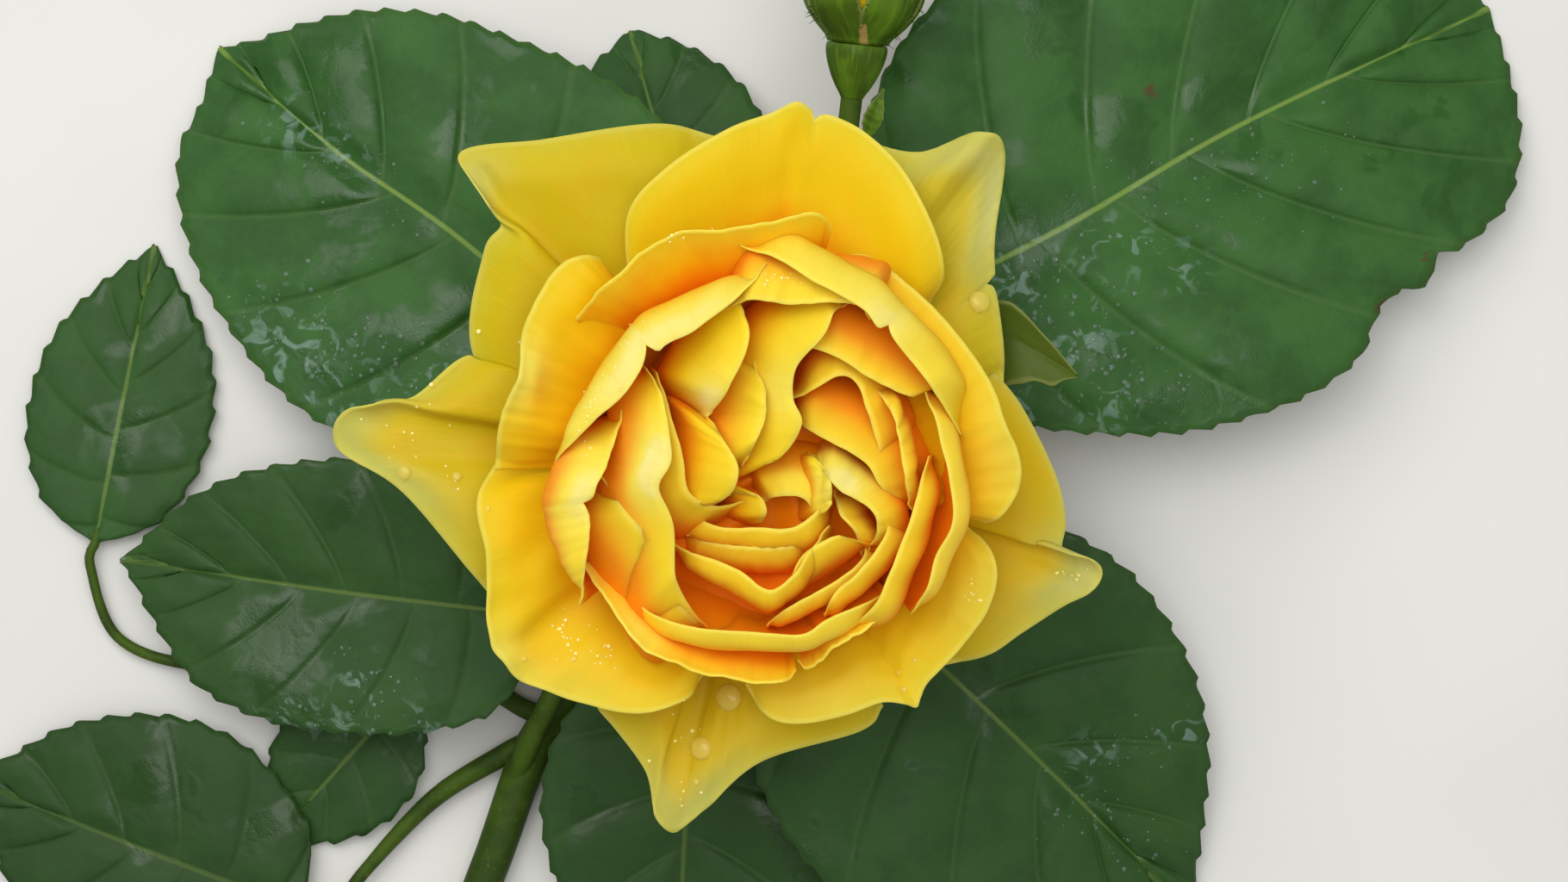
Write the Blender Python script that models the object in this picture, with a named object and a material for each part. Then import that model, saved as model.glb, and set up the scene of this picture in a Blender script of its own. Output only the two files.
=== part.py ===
"""A cut shoot of a yellow garden rose: one open bloom, a bud on a side stalk, nine leaflets and the cane.

The shoot lies on its side on a level surface with its bloom turned up. Sizes are millimetres until mesh data
is made. While it is being built the origin is on the surface under the bloom's axis, +Z is up and +Y runs
towards the bud. The last step moves the origin to the bottom centre of the whole shoot's box.
"""

import math

import bmesh
import bpy
import numpy as np
from mathutils import Vector

MM = 0.001
UP = Vector((0, 0, 1))
SEAT = 0.3  # clearance between pieces that touch

# Bloom: its petals all rise from the top of the hip.
FOOT_HEIGHT = 34.0
FOOT_RADIUS = 3.4
PETAL_THICKNESS = 0.95
HEART_PROFILE = ((3.4, 31.3), (5.2, 33.0), (9.0, 37.0), (13.5, 41.0), (15.0, 44.0), (10.0, 47.2), (3.0, 48.0))
HEART_SIDES = 20

# Hip and sepals under the bloom. A profile holds (radius, height above the piece's foot).
HIP_BOTTOM = 20.3
HIP_PROFILE = ((2.3, 0), (3.5, 1.6), (4.5, 4.6), (4.5, 6.6), (3.9, 9.4), (4.1, 10.7))
HIP_SIDES = 16
SEPAL_ROOT = 4.5  # distance of a sepal's root from the hip's axis
SEPAL_HEIGHT = 30.2
SEPAL_THICKNESS = 1.0
SEPAL_RISE = 0.8  # how far a sepal bulges upwards halfway along
SEPAL_CUP = 0.25  # how far its margins hang, as a share of its half width
# Half widths from root to tip, as shares of the width.
SEPAL_OUTLINE = (0.29, 0.43, 0.49, 0.44, 0.38, 0.305, 0.225, 0.135, 0.04)
# Bearing in degrees, length, width, and how far the tip drops. One is held out level and the rest hang.
SEPALS = (
    (15, 41, 10.6, -9.0),
    (88, 30, 8.5, 7.0),
    (160, 31, 8.5, 8.0),
    (232, 30, 8.5, 7.0),
    (303, 29, 8.5, 6.0),
)

# Cane and stalks.
CANE_PATH = (
    (-44, -74, 2.9), (-38, -58, 2.9), (-31, -40, 3.4), (-19, -25, 4.6), (-8, -12, 6.6), (-3, -5, 9.4),
)
CANE_RADII = (2.8, 2.8, 2.9, 2.3, 2.1, 1.9)
CANE_SIDES = 12
CANE_RINGS = 22
NECK_PATH = ((-2.6, -4.2, 9.9), (-1.0, -1.6, 13.5), (-0.2, -0.3, 16.8), (0, 0, 20.0))
NECK_RADII = (1.7, 1.6, 1.7, 2.2)
NECK_RINGS = 8

# Bud: a closed bud on its own stalk, held clear of the leaf under it.
BUD_STALK_PATH = ((-0.4, -6.6, 9.6), (4, -2, 13), (8.5, 11, 20.5), (11.5, 30, 25.5), (13.8, 49.6, 28.5))
BUD_STALK_RADII = (1.1, 1.1, 1.1, 1.15, 1.4)
BUD_STALK_SIDES = 8
BUD_STALK_RINGS = 16
BUD_BASE = Vector((13.9, 50.0, 28.6))
BUD_BEARING = 84.0
BUD_TILT = 8.0
BUD_SIDES = 14
BUD_HIP_PROFILE = ((1.5, 0.3), (2.8, 1.4), (4.3, 4.2), (4.3, 5.6), (4.0, 7.8))
BUD_PETALS_START = 8.1  # distance along the bud's axis from its base
BUD_PETALS_LENGTH = 27.0
BUD_PETALS_RADII = (5.3, 6.6, 7.15, 7.15, 6.65, 5.7, 4.4, 2.65, 0.25)
BUD_SEPAL_COUNT = 5
BUD_SEPAL_START = 9.0
BUD_SEPAL_LENGTH = 28.0
BUD_SEPAL_HALF_WIDTHS = (3.75, 4.4, 4.6, 4.5, 3.6, 2.4, 1.8, 1.1, 0.3)
BUD_SEPAL_THICKNESS = 0.8
BUD_SEPAL_GAP = 1.05  # from the rolled petals to the middle of a sepal's thickness
BUD_SEPAL_TIP_RADIUS = 2.0  # how near the bud's axis the sepals' tips come
BUD_SEPAL_TURN = 18.0  # degrees round the bud of the first sepal
BRACT_ROOT = (16.0, 45.0, 28.0)
BRACT_WAY = (0.33, 0.94, 0)
BRACT_LENGTH = 7.0
BRACT_WIDTH = 3.0
BRACT_LIFT = 1.0

PETAL_MATERIAL = ("petal", (0.86, 0.66, 0.03), 0.5)
LEAF_MATERIAL = ("leaf", (0.06, 0.19, 0.07), 0.35)
GREEN_MATERIAL = ("green_stem", (0.20, 0.33, 0.06), 0.45)


def clear_scene():
    for thing in list(bpy.data.objects):
        bpy.data.objects.remove(thing)


def material(recipe):
    name, colour, roughness = recipe
    made = bpy.data.materials.get(name)
    if made is None:
        made = bpy.data.materials.new(name)
        made.use_nodes = True
        shader = made.node_tree.nodes["Principled BSDF"]
        shader.inputs["Base Color"].default_value = (*colour, 1)
        shader.inputs["Roughness"].default_value = roughness
        shader.inputs["Metallic"].default_value = 0
    return made


def mesh_object(name, points, faces, recipe):
    """A mesh object of points in millimetres, with its faces turned the way they enclose."""
    mesh = bpy.data.meshes.new(name)
    mesh.from_pydata([tuple(Vector(point) * MM) for point in points], [], faces)
    shell = bmesh.new()
    shell.from_mesh(mesh)
    bmesh.ops.recalc_face_normals(shell, faces=shell.faces)
    shell.to_mesh(mesh)
    shell.free()
    mesh.materials.append(material(recipe))
    made = bpy.data.objects.new(name, mesh)
    bpy.context.scene.collection.objects.link(made)
    return made


def through(stations, count):
    """Points spread along one smooth curve through the given stations."""
    given = [Vector(station) for station in stations]
    ends = [2 * given[0] - given[1], *given, 2 * given[-1] - given[-2]]
    spans = len(given) - 1
    found = []
    for index in range(count):
        place = spans * index / (count - 1)
        span = min(int(place), spans - 1)
        u = place - span
        a, b, c, d = ends[span : span + 4]
        curve = 2 * b + (c - a) * u + (2 * a - 5 * b + 4 * c - d) * u**2 + (3 * b - a - 3 * c + d) * u**3
        found.append(curve / 2)
    return found


def sheet(name, rows, thickness, recipe):
    """A closed blade whose middle surface passes through the rows of points."""
    height = len(rows)
    width = len(rows[0])
    grid = np.array([[tuple(point) for point in row] for row in rows])
    along = np.gradient(grid, axis=0)
    across = np.gradient(grid, axis=1)
    normal = np.cross(across, along)
    normal /= np.maximum(np.linalg.norm(normal, axis=2, keepdims=True), 1e-9)
    front = (grid + normal * thickness / 2).reshape(-1, 3)
    back = (grid - normal * thickness / 2).reshape(-1, 3)
    count = height * width
    faces = []
    for row in range(height - 1):
        for column in range(width - 1):
            corner = row * width + column
            quad = (corner, corner + 1, corner + width + 1, corner + width)
            faces.append(quad)
            faces.append(tuple(point + count for point in reversed(quad)))
    border = [*range(width)]
    border += [row * width + width - 1 for row in range(1, height)]
    border += [(height - 1) * width + column for column in range(width - 2, -1, -1)]
    border += [row * width for row in range(height - 2, 0, -1)]
    for start, end in zip(border, border[1:] + border[:1]):
        faces.append((start, end, end + count, start + count))
    return mesh_object(name, np.vstack((front, back)), faces, recipe)


def turned(name, profile, sides, base, axis, recipe):
    """A solid of revolution: profile holds (radius, distance along the axis), both ends capped flat."""
    turn = UP.rotation_difference(axis)
    points = []
    for radius, distance in profile:
        for side in range(sides):
            angle = math.tau * side / sides
            offset = Vector((radius * math.cos(angle), radius * math.sin(angle), distance))
            points.append(base + turn @ offset)
    return ringed(name, points, sides, recipe)


def ringed(name, points, sides, recipe):
    """A closed tube over rings of points, each with the same number of sides."""
    rings = len(points) // sides
    faces = [tuple(range(sides)), tuple(range((rings - 1) * sides, rings * sides))]
    for ring in range(rings - 1):
        for side in range(sides):
            a = ring * sides + side
            b = ring * sides + (side + 1) % sides
            faces.append((a, b, b + sides, a + sides))
    return mesh_object(name, points, faces, recipe)


def limb(name, path, radii, sides, rings, recipe):
    """A round tapering limb along a smooth path, with flat ends."""
    places = through(path, rings)
    sizes = np.interp(np.linspace(0, 1, rings), np.linspace(0, 1, len(radii)), radii)
    points = []
    level = UP.copy()
    for index, place in enumerate(places):
        ahead = places[min(index + 1, rings - 1)] - places[max(index - 1, 0)]
        ahead.normalize()
        level = (level - ahead * level.dot(ahead)).normalized()
        side_way = ahead.cross(level)
        for side in range(sides):
            angle = math.tau * side / sides
            points.append(place + (level * math.cos(angle) + side_way * math.sin(angle)) * sizes[index])
    return ringed(name, points, sides, recipe)


def largest_shell(thing):
    """Keeps the outer shell: hollows that the union seals are filled, and loose scraps go."""
    shell = bmesh.new()
    shell.from_mesh(thing.data)
    bmesh.ops.triangulate(shell, faces=shell.faces)
    unseen = set(shell.faces)
    groups = []
    while unseen:
        group = [unseen.pop()]
        for face in group:
            for edge in face.edges:
                for other in edge.link_faces if len(edge.link_faces) == 2 else ():
                    if other in unseen:
                        unseen.remove(other)
                        group.append(other)
        groups.append(group)
    groups.sort(key=len)
    spare = [face for group in groups[:-1] for face in group]
    bmesh.ops.delete(shell, geom=spare, context="FACES")
    shell.to_mesh(thing.data)
    shell.free()


def fuse(base, others):
    """Joins the others into the base by one Boolean union, then removes them."""
    gathered = bpy.data.collections.new(base.name + "_pieces")
    bpy.context.scene.collection.children.link(gathered)
    for thing in others:
        bpy.context.scene.collection.objects.unlink(thing)
        gathered.objects.link(thing)
    union = base.modifiers.new("union", "BOOLEAN")
    union.operation = "UNION"
    union.operand_type = "COLLECTION"
    union.collection = gathered
    union.solver = "MANIFOLD"
    bpy.context.view_layer.update()
    joined = bpy.data.meshes.new_from_object(base.evaluated_get(bpy.context.evaluated_depsgraph_get()))
    joined.name = base.name
    base.modifiers.clear()
    base.data = joined
    for thing in others:
        bpy.data.objects.remove(thing)
    bpy.data.collections.remove(gathered)
    largest_shell(base)
    return base


# ---------------------------------------------------------------- bloom
# A whorl's habit: columns and rows of the blade's mesh, then how its petals leave the foot and meet the
# margin. rise and lean are degrees from level (over 90 leans inwards); body and hook are how long each holds.
HABITS = {
    "guard": {"columns": 9, "rows": 6, "rise": 28, "body": 16, "lean": 4, "hook": 16},
    "whorl": {"columns": 9, "rows": 6, "rise": 40, "body": 16, "lean": 22, "hook": 12},
    "open_bowl": {"columns": 8, "rows": 5, "rise": 42, "body": 18, "lean": 66, "hook": 12},
    "bowl": {"columns": 8, "rows": 6, "rise": 30, "body": 20, "lean": 138, "hook": 11},
    "swirl": {"columns": 7, "rows": 4, "rise": 40, "body": 10, "lean": 122, "hook": 8},
}

# Each petal: its habit, the heart (x, y) that it curls round, and places along its margin as (x, y, height).
PETALS = (
    ("guard", (0, 0), (
        (-35, 2, 42), (-42, 11, 45), (-55, 7, 43), (-56, 1, 42), (-47, -5, 44), (-35, -19, 42),
    )),
    ("guard", (0, 0), (
        (-35, 2, 42), (-37, 22, 46), (-40, 41, 44), (-27, 43, 46), (-13, 45, 46), (-5, 43, 43),
    )),
    ("guard", (0, 0), (
        (13, 43, 43), (23, 42, 46), (32, 45, 48), (33, 32, 46), (34, 18, 45), (34, 9, 42),
    )),
    ("guard", (0, 0), (
        (29, 16, 43), (39, 3, 45), (42, -8, 45), (47, -15, 43), (38, -23, 44), (25, -28, 43),
    )),
    ("guard", (0, 0), (
        (-21, -33, 43), (-14, -43, 43), (-11, -51, 40), (-5, -46, 42), (8, -39, 44), (18, -33, 42),
    )),
    ("whorl", (0, 0), (
        (-16, 22, 47), (-16, 32, 51), (-6, 42, 54), (7, 47, 54), (20, 38, 54), (26, 26, 52), (24, 21, 47),
    )),
    ("whorl", (0, 0), (
        (-18, 24, 50), (-23, 27, 57), (-29, 19, 58), (-32, 11, 57), (-33, 4, 55), (-34, -1, 50),
    )),
    ("whorl", (0, 0), (
        (-34, 0, 46), (-36, -9, 52), (-34, -28, 49), (-24, -32, 50), (-13, -34, 51), (-6, -28, 47),
    )),
    ("whorl", (0, 0), (
        (-1, -30, 48), (7, -35, 52), (21, -33, 51), (28, -24, 52), (32, -13, 54), (29, -8, 50),
    )),
    ("whorl", (0, 0), (
        (11, 27, 50), (17, 26, 57), (26, 18, 58), (33, 7, 59), (35, -3, 58), (29, -8, 50),
    )),
    ("open_bowl", (0, 0), (
        (-23, 19, 56), (-17, 25, 62), (-8, 29, 63), (2, 31, 63), (9, 32, 62), (11, 30, 57),
    )),
    ("bowl", (0, 0), ((-1, 28, 59), (7, 24, 65), (17, 17, 66), (22, 12, 65), (27, 4, 59))),
    ("bowl", (1, 4), ((-3, 20, 60), (5, 20, 63), (12, 20, 63), (16, 18, 59))),
    ("bowl", (0, 0), (
        (2, 26, 61), (-6, 17, 65), (-12, 14, 66), (-16, 9, 65), (-21, 5, 63), (-26, -1, 57),
    )),
    ("bowl", (0, -2), ((-17, 7, 60), (-19, -2, 64), (-20, -7, 63), (-21, -13, 61), (-22, -19, 56))),
    ("open_bowl", (0, 0), ((-22, -14, 55), (-17, -20, 59), (-9, -27, 60), (0, -29, 60), (6, -27, 56))),
    ("bowl", (3, 0), ((-15, -19, 56), (-8, -21, 61), (1, -22, 62), (10, -21, 62), (17, -17, 57))),
    ("bowl", (0, -4), ((22, 10, 58), (25, 3, 63), (26, -6, 63), (24, -14, 62), (21, -20, 57))),
    ("swirl", (3, -6), ((23, 1, 58), (21, -7, 62), (18, -15, 62), (13, -22, 57))),
    ("open_bowl", (0, 0), ((6, -26, 55), (10, -25, 59), (15, -22, 59), (20, -19, 56))),
    ("swirl", (6, 4), ((-4, 21, 58), (0, 18, 62), (-1, 13, 63), (-6, 6, 58))),
    ("swirl", (6, -4), ((-6, 6, 58), (-2, 1, 62), (-2, -4, 61), (-8, -5, 54))),
    ("swirl", (8, 5), ((1, 13, 58), (2, 7, 60), (-1, -1, 57))),
    ("swirl", (4, -4), ((-13, 12, 60), (-10, 1, 64), (-10, -8, 62), (-8, -19, 57), (-5, -22, 53))),
    ("swirl", (4, 0), ((-12, 12, 58), (-9, 1, 61), (-4, -6, 57), (1, -5, 54))),
    ("swirl", (3, -3), ((-19, -2, 58), (-12, -11, 60), (-9, -18, 58), (-6, -22, 52))),
    ("swirl", (3, -2), ((-10, -11, 56), (-2, -14, 60), (3, -17, 61), (8, -12, 58), (10, -8, 55))),
    ("swirl", (6, -8), ((6, -18, 55), (7, -13, 58), (12, -10, 58), (14, -12, 55))),
    ("swirl", (4, -8), ((2, -22, 55), (10, -17, 58), (16, -11, 53))),
    ("swirl", (6, -6), ((10, -20, 56), (15, -14, 60), (18, -7, 55))),
    ("swirl", (16, 6), ((13, 21, 58), (9, 16, 62), (6, 9, 60), (4, 0, 58), (-1, -1, 55))),
    ("swirl", (12, 4), ((6, 12, 57), (10, 14, 61), (16, 11, 61), (23, 10, 56))),
    ("swirl", (10, 0), ((6, 8, 56), (12, 11, 59), (15, 6, 59), (18, -1, 56))),
    ("swirl", (8, -4), ((16, 10, 57), (19, 4, 61), (21, -6, 56))),
    ("swirl", (8, -8), ((6, 6, 54), (11, 2, 58), (17, -3, 57), (21, -7, 54))),
    ("swirl", (8, -9), ((8, 1, 55), (12, -4, 59), (16, -8, 58), (16, -12, 54))),
    ("swirl", (4, 0), ((-4, -9, 54), (4, -9, 57), (10, -5, 55))),
)


def petal(index, habit, heart, margin):
    """One petal: foot, belly and margin joined by a cubic curve in each column."""
    shape = HABITS[habit]
    centre = Vector((*heart, 0))
    columns = []
    for place in through(margin, shape["columns"]):
        away = (place - centre).to_2d().normalized().to_3d()
        foot = away * FOOT_RADIUS + UP * FOOT_HEIGHT
        rise = math.radians(shape["rise"])
        lean = math.radians(shape["lean"])
        belly = foot + (away * math.cos(rise) + UP * math.sin(rise)) * shape["body"]
        neck = place - (away * math.cos(lean) + UP * math.sin(lean)) * shape["hook"]
        column = []
        for row in range(shape["rows"]):
            t = row / (shape["rows"] - 1)
            s = 1 - t
            column.append(s**3 * foot + 3 * s**2 * t * belly + 3 * s * t**2 * neck + t**3 * place)
        columns.append(column)
    rows = [list(row) for row in zip(*columns)]
    return sheet(f"petal_{index}", rows, PETAL_THICKNESS, PETAL_MATERIAL)


def bloom():
    heart = turned("bloom", HEART_PROFILE, HEART_SIDES, Vector(), UP, PETAL_MATERIAL)
    fuse(heart, [petal(index, *entry) for index, entry in enumerate(PETALS)])


# ---------------------------------------------------------------- hip and sepals
def sepal(name, root, away, length, width, drop):
    """A narrow pointed blade that starts level and bends down, or up where drop is negative."""
    side_way = UP.cross(away).normalized()
    rows = []
    for step, share in enumerate(SEPAL_OUTLINE):
        t = step / (len(SEPAL_OUTLINE) - 1)
        half = width * share
        middle = root + away * (length * t) + UP * (SEPAL_RISE * math.sin(math.pi * t) - drop * t**1.5)
        rows.append([middle + side_way * half * c - UP * SEPAL_CUP * half * abs(c) for c in (-1, 0, 1)])
    return sheet(name, rows, SEPAL_THICKNESS, GREEN_MATERIAL)


def hip_and_sepals():
    turned("hip", HIP_PROFILE, HIP_SIDES, UP * HIP_BOTTOM, UP, GREEN_MATERIAL)
    for number, (bearing, length, width, drop) in enumerate(SEPALS, 1):
        angle = math.radians(bearing)
        away = Vector((math.cos(angle), math.sin(angle), 0))
        start = away * SEPAL_ROOT + UP * SEPAL_HEIGHT
        sepal(f"sepal_{number}", start, away, length, width, drop)


# ---------------------------------------------------------------- bud
def bud_sepal(number, body, turn):
    """A sepal that hugs the rolled petals and draws out to a tip in front of them."""
    around = math.radians(BUD_SEPAL_TURN) + math.tau * number / BUD_SEPAL_COUNT
    radii, places = zip(*body)
    rows = []
    for step, half in enumerate(BUD_SEPAL_HALF_WIDTHS):
        at = BUD_SEPAL_START + BUD_SEPAL_LENGTH * step / (len(BUD_SEPAL_HALF_WIDTHS) - 1)
        radius = max(np.interp(at, places, radii) + BUD_SEPAL_GAP, BUD_SEPAL_TIP_RADIUS)
        row = []
        for c in (-1, 0, 1):
            angle = around + c * half / radius
            row.append(BUD_BASE + turn @ Vector((radius * math.cos(angle), radius * math.sin(angle), at)))
        rows.append(row)
    sheet(f"bud_sepal_{number + 1}", rows, BUD_SEPAL_THICKNESS, GREEN_MATERIAL)


def bud():
    """A closed bud: its hip, its rolled petals, five sepals that hug them, and a bract on its stalk."""
    bearing = math.radians(BUD_BEARING)
    tilt = math.radians(BUD_TILT)
    ahead = Vector((math.cos(bearing) * math.cos(tilt), math.sin(bearing) * math.cos(tilt), math.sin(tilt)))
    turned("bud_hip", BUD_HIP_PROFILE, BUD_SIDES, BUD_BASE, ahead, GREEN_MATERIAL)
    steps = len(BUD_PETALS_RADII) - 1
    body = tuple(
        (radius, BUD_PETALS_START + BUD_PETALS_LENGTH * step / steps)
        for step, radius in enumerate(BUD_PETALS_RADII)
    )
    turned("bud_petals", body, BUD_SIDES, BUD_BASE, ahead, PETAL_MATERIAL)
    turn = UP.rotation_difference(ahead)
    for number in range(BUD_SEPAL_COUNT):
        bud_sepal(number, body, turn)
    sepal("bract", Vector(BRACT_ROOT), Vector(BRACT_WAY).normalized(), BRACT_LENGTH, BRACT_WIDTH, -BRACT_LIFT)


# ---------------------------------------------------------------- leaves
# Name: foot (x, y, height), bearing, length, half widths left and right of the midrib looking to the tip,
# tip height, arch of the midrib, and how far the margins stand above it (or droop, if negative).
LEAVES = {
    "leaf_upper_right": ((14.5, 18.5, 16.0), 27.0, 105, 38, 37, 0.7, 5.0, 1.5),
    "leaf_upper_left": ((-17.5, 10.0, 15.0), 140.5, 79, 33, 32, 0.7, 4.0, 1.0),
    "leaf_left": ((-30.5, -22.5, 12.5), 173.0, 62, 20, 19, 6.0, 1.5, 2.0),
    "leaf_lower_right": ((4.5, -14.0, 14.5), 318.5, 80, 31, 31, 0.7, 5.0, 1.0),
    "leaf_bottom": ((-8.5, -26.5, 9.2), 267.0, 66, 24, 23, 0.7, 2.0, 0.5),
    "leaf_bottom_left": ((-66.0, -66.0, 3.2), 159.0, 52, 20, 19, 0.7, 2.0, 0.4),
    "leaf_low": ((-51.0, -34.5, 3.0), 228.0, 30, 10.5, 10.5, 0.7, 0.8, 0.2),
    "leaf_far_left": ((-96.5, -12.0, 2.2), 79.0, 44, 13, 13, 0.7, 0.5, 0.2),
    "leaf_top": ((-9.0, 29.0, 7.5), 105.0, 35, 15, 15, 0.7, 2.0, 0.6),
}
LEAF_THICKNESS = 1.06
TOOTH_HEIGHT = 0.9
TOOTH_SPACING = 7.0
LAST_TOOTH = 0.97  # share of the length past which the margin is plain
FOOT_HALF_WIDTH = 0.8
TIP_HALF_WIDTH = 0.35
# Share of the length, and the half width there as a share of the widest: broad and round, then a short point.
LEAF_OUTLINE = (
    (0, 0), (0.03, 0.3), (0.1, 0.55), (0.2, 0.77), (0.3, 0.91), (0.4, 0.98), (0.5, 1),
    (0.6, 0.97), (0.7, 0.9), (0.8, 0.75), (0.88, 0.54), (0.93, 0.3), (0.95, 0.13), (1, 0),
)
LEAF_COLUMNS = (-1, -0.5, 0, 0.5, 1)
STALK_RUN = 4.0  # straight last stretch of a leaf's stalk
STALK_SIDES = 7
STALK_RINGS = 9


def leaf(name, foot, bearing, length, left, right, tip_height, arch, lift):
    """A broad toothed blade with a shallow fold along its midrib."""
    angle = math.radians(bearing)
    ahead = Vector((math.cos(angle), math.sin(angle), 0))
    side_way = UP.cross(ahead)
    foot = Vector(foot)
    teeth = round(length / TOOTH_SPACING)
    steps = 2 * teeth
    rows = []
    for step in range(steps + 1):
        t = step / steps
        middle = foot + ahead * length * t
        middle.z += (tip_height - foot.z) * t + arch * 4 * t * (1 - t)
        tooth = TOOTH_HEIGHT if step % 2 and t < LAST_TOOTH else 0
        least = FOOT_HALF_WIDTH if t < 0.5 else TIP_HALF_WIDTH
        row = []
        for share in LEAF_COLUMNS:
            half = (right if share < 0 else left) * np.interp(t, *zip(*LEAF_OUTLINE))
            reach = max(half, least) * share
            if abs(share) == 1:
                reach += math.copysign(tooth, share)
            row.append(middle + side_way * reach + UP * lift * abs(reach) / max(left, right))
        rows.append(row)
    return sheet(name, rows, LEAF_THICKNESS, LEAF_MATERIAL)


def stalk(name, runs):
    """Leaf stalks that fork: every run is a path with its two end radii, and the first carries the others."""
    tubes = []
    for index, (path, radii) in enumerate(runs):
        run_name = name if index == 0 else f"{name}_{index}"
        tubes.append(limb(run_name, path, radii, STALK_SIDES, STALK_RINGS, GREEN_MATERIAL))
    return fuse(tubes[0], tubes[1:]) if len(tubes) > 1 else tubes[0]


def reach(name):
    """The last two places of a leaf's stalk: in line with the blade, and ending just outside its foot."""
    foot, bearing = LEAVES[name][:2]
    angle = math.radians(bearing)
    ahead = Vector((math.cos(angle), math.sin(angle), 0))
    return Vector(foot) - ahead * STALK_RUN, Vector(foot) - ahead * 2 * SEAT


def leaf_stalks():
    """Three leaves' stalks and the small one of the simple leaf behind the bloom."""
    main = (
        (
            (
                (-31.2, -38.5, 8.1),
                (-25, -26, 9.9),
                (-14, -4, 13.2),
                (0, 12, 15.2),
                *reach("leaf_upper_right"),
            ),
            (1.3, 1.2, 1.1, 1.0, 0.9),
        ),
        (((-14, -4, 13.2), (-13.6, 2, 14.2), *reach("leaf_upper_left")), (0.9, 0.8)),
        (((-14, -4.5, 13.2), (-6, -8.5, 13.9), *reach("leaf_lower_right")), (0.9, 0.8)),
        (((-25, -26, 9.9), (-26.2, -23.6, 11.2), *reach("leaf_left")), (0.9, 0.8)),
        (((-25, -26, 9.9), (-16, -22.8, 10.0), *reach("leaf_bottom")), (0.9, 0.8)),
    )
    stalk("stalk_main", main)
    low = (
        (
            (
                (-33.2, -36.8, 3.0),
                (-42, -32.5, 2.4),
                (-60, -29.5, 2.2),
                (-80, -30.5, 2.0),
                (-93, -26.5, 1.9),
                *reach("leaf_far_left"),
            ),
            (1.0, 0.9),
        ),
        (((-44, -32, 2.4), (-46.4, -31.4, 2.7), *reach("leaf_low")), (0.8, 0.8)),
    )
    stalk("stalk_low", low)
    outer = (
        (
            ((-36.9, -43.6, 2.6), (-47, -50, 2.4), (-57, -60.5, 2.6), *reach("leaf_bottom_left")),
            (1.1, 0.9),
        ),
    )
    stalk("stalk_outer", outer)
    top = ((((-7.8, -6.4, 7.4), (-9, 6, 6.8), (-8.6, 18, 7.0), *reach("leaf_top")), (0.9, 0.8)),)
    stalk("stalk_top", top)


def ground_and_centre():
    """Moves every mesh so that the origin is at the bottom centre of the shoot's box."""
    things = [thing for thing in bpy.context.scene.collection.objects if thing.type == "MESH"]
    places = np.vstack([[tuple(vertex.co) for vertex in thing.data.vertices] for thing in things])
    low = places.min(axis=0)
    high = places.max(axis=0)
    shift = Vector((-(low[0] + high[0]) / 2, -(low[1] + high[1]) / 2, -low[2]))
    for thing in things:
        for vertex in thing.data.vertices:
            vertex.co += shift


clear_scene()
bloom()
hip_and_sepals()
limb("cane", CANE_PATH, CANE_RADII, CANE_SIDES, CANE_RINGS, GREEN_MATERIAL)
limb("bloom_stalk", NECK_PATH, NECK_RADII, CANE_SIDES, NECK_RINGS, GREEN_MATERIAL)
limb("bud_stalk", BUD_STALK_PATH, BUD_STALK_RADII, BUD_STALK_SIDES, BUD_STALK_RINGS, GREEN_MATERIAL)
bud()
for leaf_name, leaf_sizes in LEAVES.items():
    leaf(leaf_name, *leaf_sizes)
leaf_stalks()
ground_and_centre()
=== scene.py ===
"""Dresses a cut shoot of a yellow garden rose: one open bloom, a bud, nine leaflets, their stalks and the cane."""

import math

import bmesh
import bpy
import numpy as np
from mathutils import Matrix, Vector
from mathutils.bvhtree import BVHTree


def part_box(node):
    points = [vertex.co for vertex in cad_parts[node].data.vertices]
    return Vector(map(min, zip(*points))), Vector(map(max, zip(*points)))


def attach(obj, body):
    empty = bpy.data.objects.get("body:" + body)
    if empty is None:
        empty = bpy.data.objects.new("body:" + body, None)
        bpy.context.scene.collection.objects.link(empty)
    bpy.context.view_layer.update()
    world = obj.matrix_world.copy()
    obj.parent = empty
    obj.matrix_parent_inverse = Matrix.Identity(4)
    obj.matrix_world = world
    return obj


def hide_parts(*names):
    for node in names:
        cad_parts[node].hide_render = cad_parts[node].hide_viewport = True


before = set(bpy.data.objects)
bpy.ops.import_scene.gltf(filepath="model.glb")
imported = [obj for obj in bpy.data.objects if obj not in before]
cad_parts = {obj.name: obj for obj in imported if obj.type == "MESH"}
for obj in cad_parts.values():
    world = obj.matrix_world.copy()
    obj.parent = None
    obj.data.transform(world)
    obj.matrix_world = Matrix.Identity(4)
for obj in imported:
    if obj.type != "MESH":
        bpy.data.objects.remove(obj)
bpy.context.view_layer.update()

# ---- Cane and stalks
# The cane is the shoot's green wood. It carries the bloom on its end, and the bud's stalk and the leaf stalks leave
# it below. All are round and smooth, and grow out of one another.

# Places are millimetres from the point of the floor under the bloom, with +Y towards the bud. That point is found
# from the hip, whose foot stands 0.0203 m above it.
BLOOM_AXIS = sum(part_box("hip"), Vector()) / 2
HIP_FOOT = 0.0203
FLOOR_UNDER_BLOOM = np.array((BLOOM_AXIS.x, BLOOM_AXIS.y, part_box("hip")[0].z - HIP_FOOT))
CANE_GREEN, CANE_SHADE, CANE_SPECKS = (0.052, 0.098, 0.008), (0.028, 0.058, 0.006), (0.12, 0.17, 0.03)
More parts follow.
